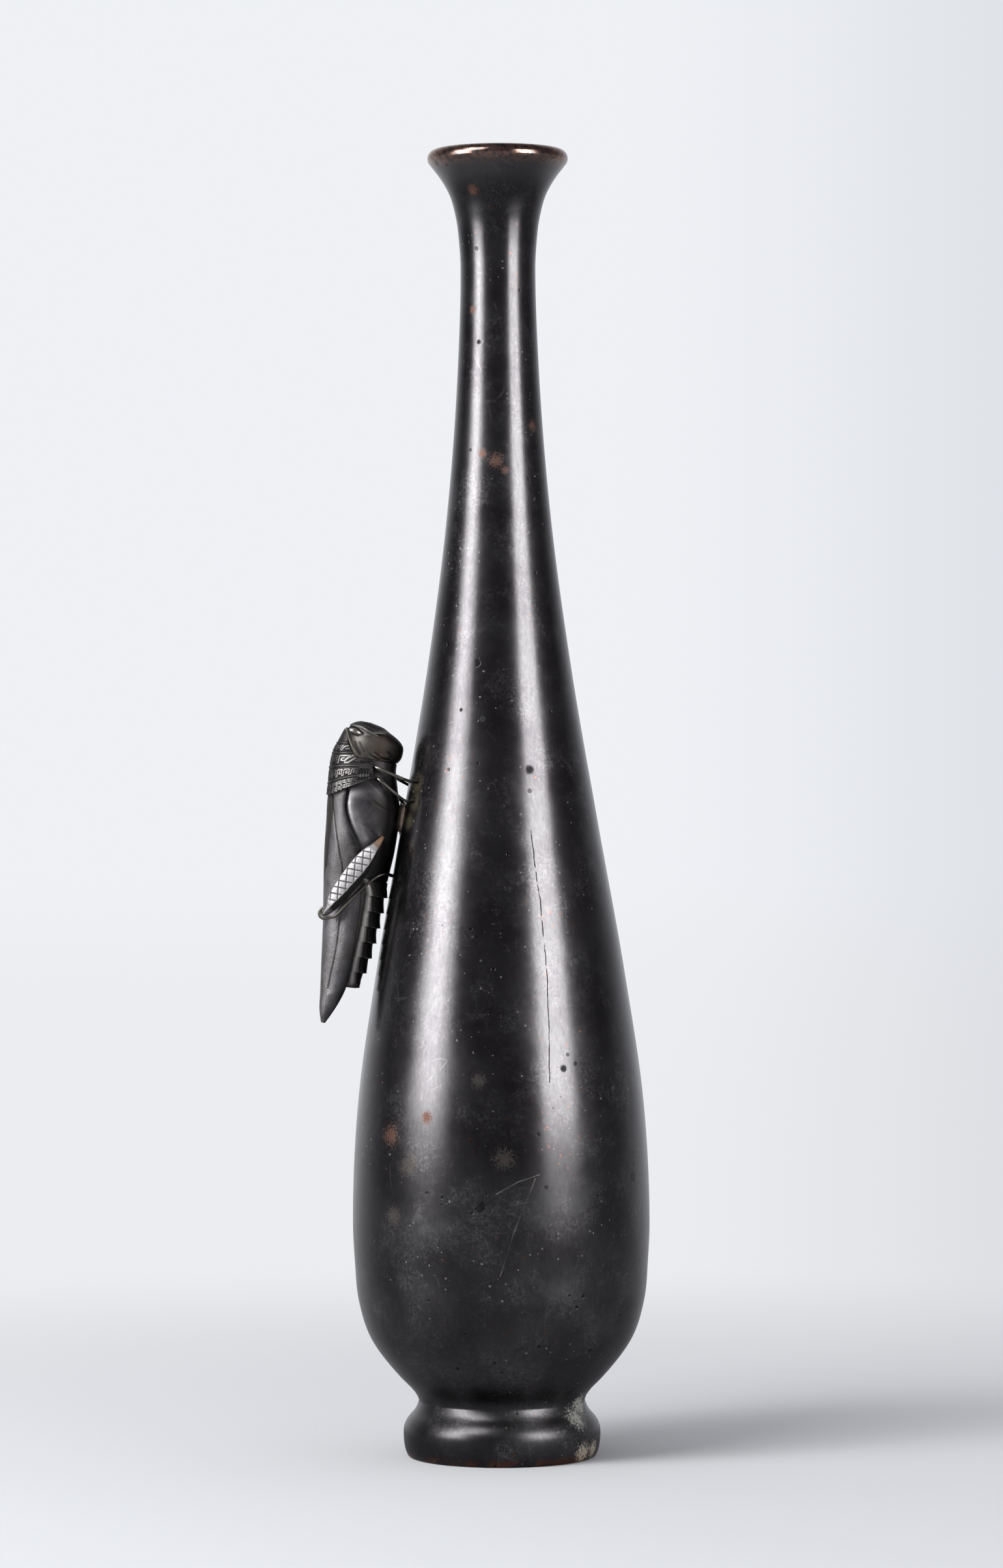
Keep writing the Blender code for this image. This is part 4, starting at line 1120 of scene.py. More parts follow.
# %% [markdown]
# ## Chest, belly and head
#
# Each is a loft: ring after ring across the body, pushed in and out by its relief. The
# chest swells beside the wing and over the leg roots. The belly is seven plates that
# overlap like tiles towards the tail, with a bright ridge along its side. The head has a
# crown with brow ridges, an almond eye by the collar, a full cheek and small jaws.

# %% Ring-built bodies
def body_grid(stations, facets):
    """Places along and turns round the body, as two grids."""
    return np.meshgrid(np.asarray(stations, float), around(facets), indexing="ij")


def body_piece(name, s, turn, relief, slide=0.0, **masks):
    """Loft the body's outline, lifted by a relief in mm."""
    d, w = skin(s, turn, relief)
    return loft(name, to_world(s, d - slide, w), **masks)


# %% Chest
NECK_PLANE = 11.0
WAIST_PLANE = -15.1
CHEST_RIDGE = curved(((0.6, 11.75), (-0.4, 11.4), (-1.2, 11.0), (-2.4, 10.3), (-4.0, 9.35),
                      (-5.2, 8.6), (-6.6, 7.8)))
WING_EDGE = ((3.4, 13.25), (0.2, 13.1), (-1.9, 12.4), (-3.9, 11.35), (-5.5, 10.25), (-7.1, 9.05),
             (-9.1, 7.95), (-12.9, 6.9), (-18.4, 6.15), (-25.5, 5.65), (-32.7, 5.75), (-36.9, 5.85),
             (-39.9, 6.1), (-43.4, 7.1), (-46.4, 8.4), (-48.3, 9.35))
CHEST_SEAMS = (((7.52, 11.4), (6.42, 9), (5.12, 6.8), (3.72, 4.4), (2.92, 2)),
               ((3.32, 8.6), (1.72, 6.4), (0.72, 4), (0.32, 1.6)),
               ((-3.38, 8), (-4.88, 6), (-6.48, 4), (-8.28, 2)))
LEG_ROOTS = ((9.32, 7.4, 1.1), (6.62, 6.4, 1.0), (-6.08, 4.3, 1.4))

s, turn = body_grid(np.linspace(NECK_PLANE, WAIST_PLANE, 190), 120)
d, w = skin(s, turn)
ridge = trace(s, d, CHEST_RIDGE, 1.0) * (np.cos(turn) ** 2 > 0.02)
upper_face = dome(s + 0.45 * (d - 11.2), d, 2.7, 11.0, 1.1, 2.0)
seams = 0.35 * traces(s, d, CHEST_SEAMS, 0.22)
roots = sum(dome(s, d, a, b, size, size) for a, b, size in LEG_ROOTS)
wing_shade = trace(s, d + 0.12, WING_EDGE[:8], 0.42)
relief = 0.20 * ridge + 0.10 * upper_face + 0.30 * roots - 0.12 * seams - 0.16 * wing_shade
under_wing = d > smooth(WING_EDGE, s) - 0.1
relief = np.where(under_wing | (s > 8.8), np.minimum(relief, 0.0), relief)
# painted shade: darker towards the wall, and under the collar by the leg roots
soot = np.maximum(between(d, 7.8 + 0.25 * np.maximum(0, s), 4.4),
                  0.85 * between(s, 4.5, 7.5) * between(d, 11.0, 8.5))
brown = 0.7 * dome(s, d, 1.2, 4.6, 2.0, 2.4) + 0.8 * dome(s, d, 8.4, 7.6, 1.8, 1.8)
# the ridge is rubbed bright and also carries a painted highlight; the upper face by the collar gets
# only a painted highlight
raised = np.clip(0.7 * (ridge + upper_face), 0, 1)
# dark seams, and painted shade in the soft band along the wing's edge
groove = np.clip(0.6 * seams + 0.5 * wing_shade, 0, 1)
chest = body_piece("locust_chest", s, turn, relief, raised=raised, groove=groove, soot=soot,
                   brown=np.clip(brown, 0, 1))
seat_on_frame(chest, "locust_thorax", chest_metal)

# %% Belly plates
BELLY_PLATES = 7
BELLY_END = -39.6
BELLY_STEP = 0.7
UNDER_LAP = 0.6
BELLY_RIDGE = curved(((-15.3, 5.6), (-18.1, 4.6), (-21.0, 4.38), (-24.0, 4.42), (-27.6, 4.5),
                      (-32.2, 4.8), (-35.3, 5.0), (-38.4, 5.1)))

belly_start = WAIST_PLANE - GAP
s, turn = body_grid(np.linspace(WAIST_PLANE + UNDER_LAP, BELLY_END, 250), 120)
d, w = skin(s, turn)
phase = np.maximum(0.0, (belly_start - s) / (belly_start - BELLY_END)) * BELLY_PLATES
number = np.minimum(np.floor(phase), BELLY_PLATES - 1)
phase = phase - number
swell = np.where(phase < 0.93, 0.1 + 0.9 * phase**1.3, 1.0 - 0.9 * between(phase, 0.93, 1.0))
under = np.maximum(0.0, -np.sin(turn))
ridge = trace(s, d, BELLY_RIDGE, 0.75)
beside_ridge = trace(s, d + 0.95, BELLY_RIDGE, 0.24) + trace(s, d - 0.85, BELLY_RIDGE, 0.22)
under_ridge = smooth([tuple(place) for place in BELLY_RIDGE], s) - d
below = under_ridge > 0.8
hem = bell(phase - 0.93, 0.035) * below
cell_row = under_ridge / 1.15
cell = np.where(below, bell((cell_row % 1.0) - 0.5, 0.16) * bell(phase - 0.45, 0.30), 0.0)
relief = 0.42 * ridge - 0.10 * beside_ridge + below * (0.18 * swell - 0.07 * cell) + 0.06 * hem
relief = np.where(s > belly_start, -0.25, relief)
raised = np.clip(ridge + 0.20 * hem, 0, 1)
groove = 0.9 * beside_ridge + 0.40 * cell + 0.8 * below * bell(phase - 0.995, 0.03)
# painted shade: the plates below the side ridge, which face the wall, are near-black
belly = body_piece("locust_belly", s, turn, relief, BELLY_STEP * under**1.5 * swell, raised=raised,
                   groove=groove, soot=0.85 * below)
seat_on_frame(belly, "locust_abdomen", belly_metal)

# %% Head
HEAD_ROOT = NECK_PLANE - UNDER_LAP
HEAD_TOP = 19.15
EYE_PLACE = (16.6, 13.45)
EYE_GROOVE = curved(((17.57, 15), (17.47, 13.7), (17.07, 12.5), (16.47, 11.8)))
EYE_UNDER = curved(((17.12, 15.1), (16.22, 14), (15.87, 12.8), (16.32, 11.9)))
BROW_RIDGES = (((17.97, 14.6), (18.12, 13.1), (17.97, 11.9), (17.42, 10.8), (17.02, 9.6),
                (16.92, 8.6)),
               ((17.32, 12.4), (16.87, 11.3), (16.42, 10.6)))
BROW_CUTS = (((18.32, 13.6), (18.37, 12.3), (18.07, 11.3), (17.72, 10.3), (17.52, 9.4)),
             ((18.72, 11.8), (18.57, 10.4), (18.12, 9)),
             ((16.87, 8.9), (16.77, 8), (16.92, 7)))
CROWN_ALMOND = curved(((17.07, 8.9), (17.47, 8), (17.52, 6.8)))
CHEEK_FOLDS = (((16.02, 14.7), (14.72, 14), (13.42, 13.1), (12.32, 12.1), (11.52, 11.3)),
               ((14.42, 13.1), (13.12, 12.4), (12.02, 11.5)),
               ((14.52, 12), (13.42, 11.2), (12.42, 10.5)))
JAW_CUTS = (((12.72, 8.4), (12.12, 7.4), (11.72, 6.3), (11.62, 5)),
            ((13.32, 5.4), (12.42, 4.6), (11.72, 4)), ((12.02, 9.3), (11.62, 8.3), (11.42, 7.3)))
JAW_BUMPS = ((12.02, 7, 0.45), (12.22, 5.6, 0.5), (12.12, 8.6, 0.4), (11.82, 4.4, 0.4))

rows = HEAD_ROOT + (HEAD_TOP - HEAD_ROOT) * np.sin(np.linspace(0, math.pi / 2, 130))
s, turn = body_grid(rows, 150)
d, w = skin(s, turn)
eye_cut = trace(s, d, EYE_GROOVE, 0.17) + 0.8 * trace(s, d, EYE_UNDER, 0.13)
brow, brow_cut = traces(s, d, BROW_RIDGES, 0.30), traces(s, d, BROW_CUTS, 0.14)
almond = trace(s, d, CROWN_ALMOND, 0.34)
cheek, folds = dome(s, d, 14.3, 10.2, 1.9, 3.0), traces(s, d, CHEEK_FOLDS, 0.15)
jaw_cut = traces(s, d, JAW_CUTS, 0.15)
jaws = sum(dome(s, d, a, b, size, size) for a, b, size in JAW_BUMPS)
socket = dome(s, d, *EYE_PLACE, 1.1, 1.7)
relief = (0.24 * brow + 0.24 * almond + 0.30 * cheek + 0.14 * jaws - 0.24 * eye_cut
          - 0.24 * brow_cut - 0.10 * folds - 0.20 * jaw_cut - 0.12 * socket)
# rubbed brows and almond, and a painted highlight on the cheek below the eye
raised = np.clip(0.55 * brow + 0.6 * almond + 0.42 * dome(s, d, 15.2, 12.2, 0.8, 1.44), 0, 1)
groove = np.clip(eye_cut + brow_cut + 0.75 * folds + 0.8 * jaw_cut, 0, 1)
relief = np.where(s < NECK_PLANE + 0.2, -0.25, relief)
# painted shade towards the wall, and darker towards the front of the head
soot = np.maximum(0.85 * between(d, 7.4, 5.2), 0.55 * between(s, 16.5, 17.3))
head = body_piece("locust_head_cast", s, turn, relief, raised=raised, groove=groove,
                  brown=0.75 * between(d, 9.6, 7.6), soot=soot)
seat_on_frame(head, "locust_head", head_metal)

# %% [markdown]
# ### Eyes
#
# The eye is an almond bead of brighter metal, rubbed by fingers. A sphere squeezed along
# its three directions is enough, narrowed a little towards each end.

# %% Eyes
EYE_ACROSS = 0.72
EYE_ALONG = 1.55
EYE_BULGE = 0.85
EYE_TILT = math.radians(12)

eye_metal, where, shader = metal("eye_polish", 0.24)
dim = use_group(clouds, where, Scale=420.0, Sharpness=0.2)
dress(shader, blend(dim["Cloud"], (0.33, 0.31, 0.27), (0.55, 0.53, 0.49)), 0.20 + dim["Fine"] * 0.2)

tall, turn = body_grid(np.linspace(-math.pi / 2, math.pi / 2, 31)[1:-1], 48)
point = 1 - 0.25 * np.abs(np.sin(tall)) ** 3
across = np.cos(tall) * np.cos(turn) * EYE_ACROSS * point
reach = np.sin(tall) * EYE_ALONG
bulge = np.cos(tall) * np.sin(turn) * EYE_BULGE
s = EYE_PLACE[0] + across * math.cos(EYE_TILT) + reach * math.sin(EYE_TILT)
d = EYE_PLACE[1] - across * math.sin(EYE_TILT) + reach * math.cos(EYE_TILT)
for label, side in SIDES:
    eye = loft("eye_bead_" + label, to_world(s, d, side * (side_width(*EYE_PLACE) + bulge)))
    seat_on_frame(eye, "eye_" + label, eye_metal)

# %% [markdown]
# ## Collar plate
#
# Behind the head a saddle-shaped plate covers the neck and the wing roots. The maker
# chased it with rows of a running key fret between plain ridges, finest at the rear. Each
# key is a short path of straight strokes; every point of the plate's grid asks how far it
# is from the nearest stroke, and stands proud when it is close. Near the leg roots the
# fret gives way to short upright bars.

# %% Collar shape
COLLAR_FRONT = ((10.6, 10.5), (12.0, 10.9), (14.3, 13.3), (15.4, 16.1), (16.2, 17.3))
COLLAR_REAR = ((7.9, 7.2), (11.1, 5.4), (13.5, 3.9), (16.2, 2.1), (17.3, 1.8))
COLLAR_THICK = 0.85
COLLAR_LIP = 0.4
COLLAR_MIDDLE = 8.0
COLLAR_SIDE_EDGE = 8.0


def collar_places(share_out, rows, cols, relief=0.0):
    """Grid (s, d, w) on the collar's outer (1) or inner (0) face, rear edge first."""
    t = np.linspace(0, 1, rows)[:, None]
    thinned = (COLLAR_LIP - COLLAR_THICK) * np.maximum(0, (t - 0.6) / 0.4) ** 2
    lift = GAP + (COLLAR_THICK + thinned) * share_out
    low = turn_at(COLLAR_MIDDLE, COLLAR_SIDE_EDGE, lift)
    turn = low + (math.pi - 2 * low) * np.linspace(0, 1, cols)[None, :]
    s = np.full((rows, cols), COLLAR_MIDDLE)
    for _ in range(8):
        d, w = skin(s, turn, lift)
        rear = smooth(COLLAR_REAR, d)
        s = rear + (smooth(COLLAR_FRONT, d) - rear) * t
    d, w = skin(s, turn, lift + relief)
    return s, d, w


# %% Key fret
KEY_STROKES = (((0.0, 0.12), (0.14, 0.12), (0.14, 0.88), (0.86, 0.88), (0.86, 0.34), (0.44, 0.34),
                (0.44, 0.62), (0.66, 0.62)), ((0.86, 0.12), (1.0, 0.12)))
FRET_ROWS = ((3.45, 4.6, 1.15, 0.15), (4.65, 5.75, 1.15, 0.15), (6.6, 8.2, 1.75, 0.20),
             (9.35, 11.35, 2.4, 0.25), (12.25, 13.6, 1.6, 0.18))
COLLAR_RIDGES = ((3.2, 0.10), (6.15, 0.16), (8.85, 0.18), (11.8, 0.18), (14.1, 0.15))
ROW_MIDDLE = 14.2


def fret(row_place, round_place, low, high, length, line):
    """Raised keys of one row: 1 on a stroke, falling off beside it."""
    across = (row_place - low) / (high - low)
    a = round_place / length
    a = a - np.floor(a)
    stroke = np.inf
    for path in KEY_STROKES:
        sized = [(x * length, y * (high - low)) for x, y in path]
        stroke = np.minimum(stroke, near_path(a * length, across * (high - low), sized))
    inside = between(across, -0.02, 0.03) * (1 - between(across, 0.97, 1.02))
    return (1 - between(stroke, line * 0.55, line)) * inside, inside


COLLAR_ROWS, COLLAR_COLS = 166, 292
s, d, w = collar_places(1.0, COLLAR_ROWS, COLLAR_COLS)
steps = [np.diff(part, axis=1, prepend=part[:, :1]) for part in (d, w)]
arc_length = np.cumsum(np.hypot(*steps), 1)
from_back = np.abs(arc_length - arc_length[:, COLLAR_COLS // 2][:, None])
lean = 0.17 + 0.45 * np.clip((9.0 - s) / 6.0, 0, 1)
row_place = s + lean * (d - ROW_MIDDLE)
keys = np.zeros_like(s)
ground = np.zeros_like(s)
for low, high, length, line in FRET_ROWS:
    raised_here, inside = fret(row_place, from_back, low, high, length, line)
    keys = np.maximum(keys, raised_here)
    ground = np.maximum(ground, inside)
to_bars = between(d, 11.6, 11.0) * between(d, 8.6, 9.1) * between(row_place, 4.6, 5.0)
bars = (0.5 + 0.5 * np.cos(2 * math.pi * from_back / 0.62)) ** 1.5 * to_bars
fine = between(d, 11.2, 11.8)
# painted highlight: the band of the plate where the keys catch the lamps
caught = between(d, 11.8, 13.2) * (1 - between(d, 15.6, 16.6))
keys = keys * (1 - to_bars) * fine
ground = ground * np.maximum(fine, to_bars)
ridges = sum(bell(row_place - at, width) for at, width in COLLAR_RIDGES) * (1 - to_bars)
ridge_cuts = sum(bell(np.abs(row_place - at) - width - 0.16, 0.09) for at, width in COLLAR_RIDGES)
ridge_cuts = ridge_cuts * (1 - to_bars)
t = np.linspace(0, 1, COLLAR_ROWS)[:, None] + 0 * s
hem = between(t, 0.035, 0.015) + between(t, 0.965, 0.985)
relief = (0.11 * keys - 0.10 * ground + 0.08 * ridges - 0.10 * ridge_cuts + 0.16 * bars
          - 0.10 * to_bars + 0.05 * hem)
outside = to_world(*collar_places(1.0, COLLAR_ROWS, COLLAR_COLS, relief))
inside = to_world(*collar_places(0.0, COLLAR_ROWS, COLLAR_COLS))
# keys painted bright mostly in that band; ridges, bars and hem a little rubbed
raised = np.clip(keys * (0.10 + 0.75 * caught) + 0.10 * ridges + 0.15 * bars + 0.10 * hem, 0, 1)
groove = np.clip(0.80 * ground * (1 - keys) + 0.60 * ridge_cuts + 0.5 * to_bars * (1 - bars), 0, 1)
# darker along the top, and painted shade towards the wall
soot = 0.60 * between(d, 15.4, 16.4) + 0.35 * between(d, 12.6, 11.2)
collar = plate("collar_plate", outside, inside, raised=raised, groove=groove, soot=soot)
seat_on_frame(collar, "locust_pronotum", collar_metal)

# %% [markdown]
# ## Folded wings
#
# The forewings lie like the two slopes of a roof: a rounded shoulder by the collar, then
# long and straight to the tip. One cut line runs down each wing and parts the narrow top
# field from the side field, which is softly pillowed, so it carries a long highlight.

# %% Wings
WING_END = -48.3
WING_THICK = 0.6
ROOT_LAP = 0.8
WING_ROWS, WING_COLS = 300, 72
MAIN_CUT = curved(((1.5, 15.9), (-0.2, 15.6), (-1.7, 15.25), (-4.5, 14.4), (-8.0, 13.25),
                   (-10.9, 12.2), (-13.4, 11.2), (-19.0, 10.1), (-26.3, 9.75), (-30.0, 9.6),
                   (-33.8, 9.65), (-37.0, 9.85), (-40.5, 10.0)))
SHOULDER = curved(((2.2, 13.5), (0.9, 13.85), (-0.6, 13.9), (-2.2, 13.8), (-4.5, 13.5),
                   (-6.7, 13.1)))
BACK_STRIP = ((2.5, 16.2), (0.5, 15.9), (-0.9, 15.65), (-4.7, 15.4), (-8.4, 15.2), (-12.1, 14.95),
              (-20.0, 14.7))


def wing_places(share_out, relief=0.0):
    """Grid (s, d, w) on the right wing's outer (1) or inner (0) face, from root to tip."""
    lift = GAP + WING_THICK * share_out
    t = np.linspace(0, 1, WING_ROWS)[:, None]
    j = np.linspace(0, 1, WING_COLS)[None, :]
    s = np.zeros((WING_ROWS, WING_COLS))
    for _ in range(8):
        low = turn_at(s, smooth(WING_EDGE, s), lift)
        turn = math.pi / 2 + (low - math.pi / 2) * j
        d, w = skin(s, turn, lift)
        root = smooth(COLLAR_REAR, d) + ROOT_LAP
        s = root + (WING_END - root) * t
    relief = relief * between(smooth(COLLAR_REAR, d) - s, 0.0, 0.8)
    d, w = skin(s, turn, lift + relief)
    return s, d, np.maximum(w, GAP / 2)


s, d, w = wing_places(1.0)
edge = smooth(WING_EDGE, s)
top = smooth(BACK_LINE, s) + GAP + WING_THICK
from_cut = near_path(s, d, MAIN_CUT)
main_cut = bell(from_cut, 0.13)
back_bead = bell(top - d, 0.55) * between(s, 1.0, -2.0)
over_strip = d - smooth(BACK_STRIP, s)
strip = between(over_strip, -0.12, 0.12)
strip_cut = bell(over_strip, 0.16) * (s > -14)
edge_cut = bell(d - edge, 0.28)
pillow = between(from_cut, 0.0, 1.7) * between(d - edge, 0.0, 1.6)
shoulder = trace(s, d, SHOULDER, 0.95) * between(s, -6.5, -2.0)
below_cut = d < smooth([tuple(place) for place in MAIN_CUT[::8]], s)
root_cut = between(s - smooth(COLLAR_REAR, d), -1.2, -0.45)
swollen = pillow * below_cut * (0.3 + 0.7 * between(s, -8.0, -18.0))
relief = (0.20 * swollen + 0.03 * shoulder + 0.08 * back_bead - 0.08 * strip_cut - 0.13 * main_cut
          - 0.12 * edge_cut - 0.10 * root_cut)
tail_field = between(s, -14.0, -24.0) * between(d - edge, 0.6, 2.6)
# painted highlight: lighter on the shoulder, along the top and on the side field towards the tail
raised = np.clip(0.09 * shoulder + 0.22 * tail_field + 0.06 * (d > 13.2), 0, 1)
groove = np.clip(0.75 * main_cut + 0.7 * strip_cut + 0.6 * edge_cut + 0.5 * root_cut, 0, 1)
beside_edge = between(d - edge, 2.4, 0.4)
shoulder_shade = between(s, -4.0, -8.0) * between(s, -20.0, -14.0) * between(d, 13.4, 12.2)
# painted shade by the lower edge towards the tail and below the shoulder; the back strip is darker
# and browner
soot = 0.65 * beside_edge * between(s, -46.0, -40.0) + 0.5 * strip + 0.35 * shoulder_shade
soot = np.clip(soot, 0, 1)
faces = wing_places(1.0, relief), wing_places(0.0)
for label, side in SIDES:
    outside, inside = (to_world(s, d, side * w) for s, d, w in faces)
    wing = plate("wing_" + label, outside, inside, raised=raised, groove=groove, soot=soot,
                 brown=0.9 * strip)
    seat_on_frame(wing, "forewing_" + label, wing_metal)

# %% [markdown]
# ## Hind thighs
#
# The thigh is a long spindle with a crease: a broad upper face that catches the light,
# cut with two families of fine lines into a net of diamonds, and a narrow lower face that
# falls into shade. The hip end is rubbed through to copper. The net is two sets of evenly
# spaced straight lines, so its depth is only the distance to the nearest line of each.

# %% Thighs
HIP = np.array((-5.2, 3.4))
KNEE = np.array((-24.1, 13.4))
FEMUR_WIDTH = 3.95
FEMUR_THICK = 2.6
FEMUR_SHAPE = ((0.0, 0.09, 0.09), (0.10, 0.22, 0.22), (0.24, 0.47, 0.42), (0.44, 0.58, 0.58),
               (0.61, 0.57, 0.55), (0.76, 0.50, 0.47), (0.87, 0.36, 0.40))
KNEE_LOOP = 1.2
TIBIA_RADIUS = 0.28
CREASE = ((0.0, -0.05), (0.10, -0.5), (0.22, -1.05), (0.40, -1.3), (0.48, -1.2), (0.57, -1.0),
          (0.67, -0.85), (0.75, -0.65), (0.84, -0.32), (1.0, -0.05))
FEMUR_SEATED = 0.62
FEMUR_OVER_WING = 0.12
KNEE_DRAW_IN = 0.5

thigh_length = float(np.linalg.norm(KNEE - HIP))
thigh_line = (KNEE - HIP) / thigh_length
thigh_up = np.array((thigh_line[1], -thigh_line[0]))
knee_end = KNEE_LOOP - TIBIA_RADIUS - GAP
thigh_rows = [(a, up_ * FEMUR_WIDTH, down_ * FEMUR_WIDTH) for a, up_, down_ in FEMUR_SHAPE]
thigh_rows += [(0.95, knee_end * 1.05, knee_end * 1.9), (1.0, knee_end * 0.95, knee_end * 1.1),
               (1.0 + 0.9 * knee_end / thigh_length, knee_end * 0.5, knee_end * 0.5)]


def thigh_size(share):
    """Reach above and below the thigh's middle line, and half its thickness."""
    up_reach = smooth([(row[0], row[1]) for row in thigh_rows], share)
    down_reach = smooth([(row[0], row[2]) for row in thigh_rows], share)
    full = 0.3 + (up_reach + down_reach) / FEMUR_WIDTH
    return up_reach, down_reach, FEMUR_THICK / 2 * np.minimum(1.0, full)


def thigh_centre(share):
    """Middle of the thigh (s, d, w), clear of the chest and the wing."""
    beside = np.minimum(share, FEMUR_SEATED)
    up_reach, down_reach, half = thigh_size(beside)
    lift = (GAP + WING_THICK) * np.minimum(1.0, beside / FEMUR_OVER_WING)
    width = 0.0
    for reach in (-down_reach, -down_reach / 2, 0.0, up_reach / 2, up_reach):
        spot_s = HIP[0] + (KNEE - HIP)[0] * beside + thigh_up[0] * reach
        spot_d = HIP[1] + (KNEE - HIP)[1] * beside + thigh_up[1] * reach
        width = np.maximum(width, side_width(spot_s, spot_d, lift))
    drawn = KNEE_DRAW_IN * np.maximum(0.0, share - FEMUR_SEATED) / (1 - FEMUR_SEATED)
    centre = HIP[:, None] + (KNEE - HIP)[:, None] * np.atleast_1d(share)
    return centre[0], centre[1], width + GAP + half - drawn


# %% Diamond net
NET_LEAN = math.radians(11.5)
NET_STEP = 1.5
NET_START = 122.97
NET_UPRIGHT_LEAN = 0.081
NET_UPRIGHT_STEP = 1.65
NET_UPRIGHT_START = -40.98
NET_LINE = 0.125
HIP_COPPER = (0.42, 0.27, 0.17)


def net_depth(s, d):
    """How deep a point is in the net's lines, 0 to 1."""
    x = seat[0] / MM + s * along[0] + d * outward[0]
    z = seat[2] / MM + s * along[2] + d * outward[2]
    level = (x * math.sin(NET_LEAN) + z * math.cos(NET_LEAN) - NET_START) / NET_STEP
    upright = (x - NET_UPRIGHT_LEAN * z - NET_UPRIGHT_START) / NET_UPRIGHT_STEP
    off_level = np.abs(level - np.round(level)) * NET_STEP
    off_upright = np.abs(upright - np.round(upright)) * NET_UPRIGHT_STEP
    return np.maximum(bell(off_level, NET_LINE), bell(off_upright, NET_LINE))


shares = np.concatenate([np.linspace(0, 0.95, 250), np.linspace(0.955, thigh_rows[-1][0], 14)])
share, turn = body_grid(shares, 132)
centre_s, centre_d, centre_w = (v[:, None] for v in thigh_centre(shares))
up_reach, down_reach, half = (v[:, None] for v in thigh_size(shares))
reach = np.where(np.cos(turn) > 0, up_reach, down_reach) * np.cos(turn)
s = centre_s + thigh_up[0] * reach
d = centre_d + thigh_up[1] * reach
crease = np.minimum(smooth(CREASE, share), up_reach * 0.5)
crease = np.maximum(crease, -0.85 * down_reach)
upper = np.clip((up_reach - reach) / (up_reach - crease), 0, 1)
lower = np.clip((reach + down_reach) / (crease + down_reach), 0, 1)
face = np.where(reach >= crease, upper**0.5, lower**0.62)
outer = np.sin(turn) > 0
crisp = between(share, 0.02, 0.15) * (1 - between(share, 0.90, 0.97))
profile = np.where(outer, crisp * face + (1 - crisp) * np.sin(turn), np.sin(turn))
on_face = outer * between(upper, 0.0, 0.06) * (reach >= crease + 0.08)
net = net_depth(s, d) * on_face * between(share, 0.15, 0.22) * (1 - between(share, 0.84, 0.88))
under_cut = outer * bell(reach - crease + 0.28, 0.16) * crisp
relief = -0.09 * net - 0.06 * under_cut
hip_worn = (1 - between(share, 0.05, 0.16)) * outer
shown = between(share, 0.10, 0.20) * (1 - between(share, 0.84, 0.90))
# wear and painted highlight: the upper face is painted pale between the net's lines
raised = np.clip(0.82 * on_face * (1 - net) * shown, 0, 1)
# the net's cuts, and painted shade over the whole lower face below the crease
groove = np.clip(net * 0.75 + 0.97 * outer * (reach < crease - 0.05) * crisp, 0, 1)

recoat(mask(thigh_metal.node_tree, "copper") * 0.9, HIP_COPPER)

for label, side in SIDES:
    w = side * (centre_w + half * profile + relief)
    thigh = loft("thigh_" + label, to_world(s, d, w), raised=raised, groove=groove, copper=hip_worn)
    seat_on_frame(thigh, "hind_femur_" + label, thigh_metal)

# %% [markdown]
# ## Wires
#
# Antennae, legs and shins are drawn wire, bent by hand. A wire is a path with a radius
# at each point, so a node tree makes them all: it sweeps a small circle along the path,
# scales it by the point's radius and closes both ends.

# %% Wire tree
WIRE_SIDES = 14

wire_tree, given, end = geometry_tree("bent wire", {"Sides": "Int", "Material": "Material"})
ring = add(wire_tree, "GeometryNodeCurvePrimitiveCircle", Resolution=given["Sides"], Radius=1.0)
swept = add(wire_tree, "GeometryNodeCurveToMesh", Curve=given["Geometry"], Profile_Curve=ring,
            Scale=add(wire_tree, "GeometryNodeInputRadius"), Fill_Caps=True)
close_tree(swept, given["Material"], end)


def wire(name, points, radii, material):
    """Wire piece along points, with a radius in mm at each."""
    path = poly_curve(name + "_path", points, [radius * MM for radius in radii])
    made = grow(name, wire_tree, path, Sides=WIRE_SIDES, Material=material)
    made.data.set_sharp_from_angle(angle=math.radians(60))
    return made


# %% Wire metals
WALL_SLOPE = (outer_radius(SEAT_HEIGHT + 8 * MM) - outer_radius(SEAT_HEIGHT - 14 * MM)) / (22 * MM)
WALL_START = outer_radius(SEAT_HEIGHT) - SEAT_HEIGHT * WALL_SLOPE
WALL_SHADE = (3.3 * MM, 2.0 * MM)


def from_axis(where):
    """Distance from the bottle's upright middle line."""
    return vector("LENGTH", vector("MULTIPLY", where, (1, 1, 0)))


def wire_metal(name, dark, bright, rough, stain):
    """Drawn wire: stained in patches, bright where it gets touched, and near-black with painted
    shade by the wall.
    """
    material, where, shader = metal(name, rough)
    mottle = use_group(clouds, where, Scale=330.0, Sharpness=0.2)
    patches = use_group(clouds, where, Scale=140.0, Sharpness=0.1)
    wall_here = calc("MULTIPLY_ADD", split(where)["Z"], WALL_SLOPE, WALL_START)
    # painted shade: the wire goes black over its last few mm before the wall
    at_wall = ramp(from_axis(where) - wall_here, *WALL_SHADE)
    tone = coats(blend(mottle["Cloud"], dark, bright), (patches["Cloud"] * stain, VERDIGRIS),
                 (at_wall * 0.96, CUT_AND_SHADE_BLACK))
    gloss = rough + (mottle["Fine"] * 0.2 + at_wall * 0.4)
    dress(shader, tone, gloss, noise(where, 2500.0, 2.0) * 0.00004, 0.6)
    return material


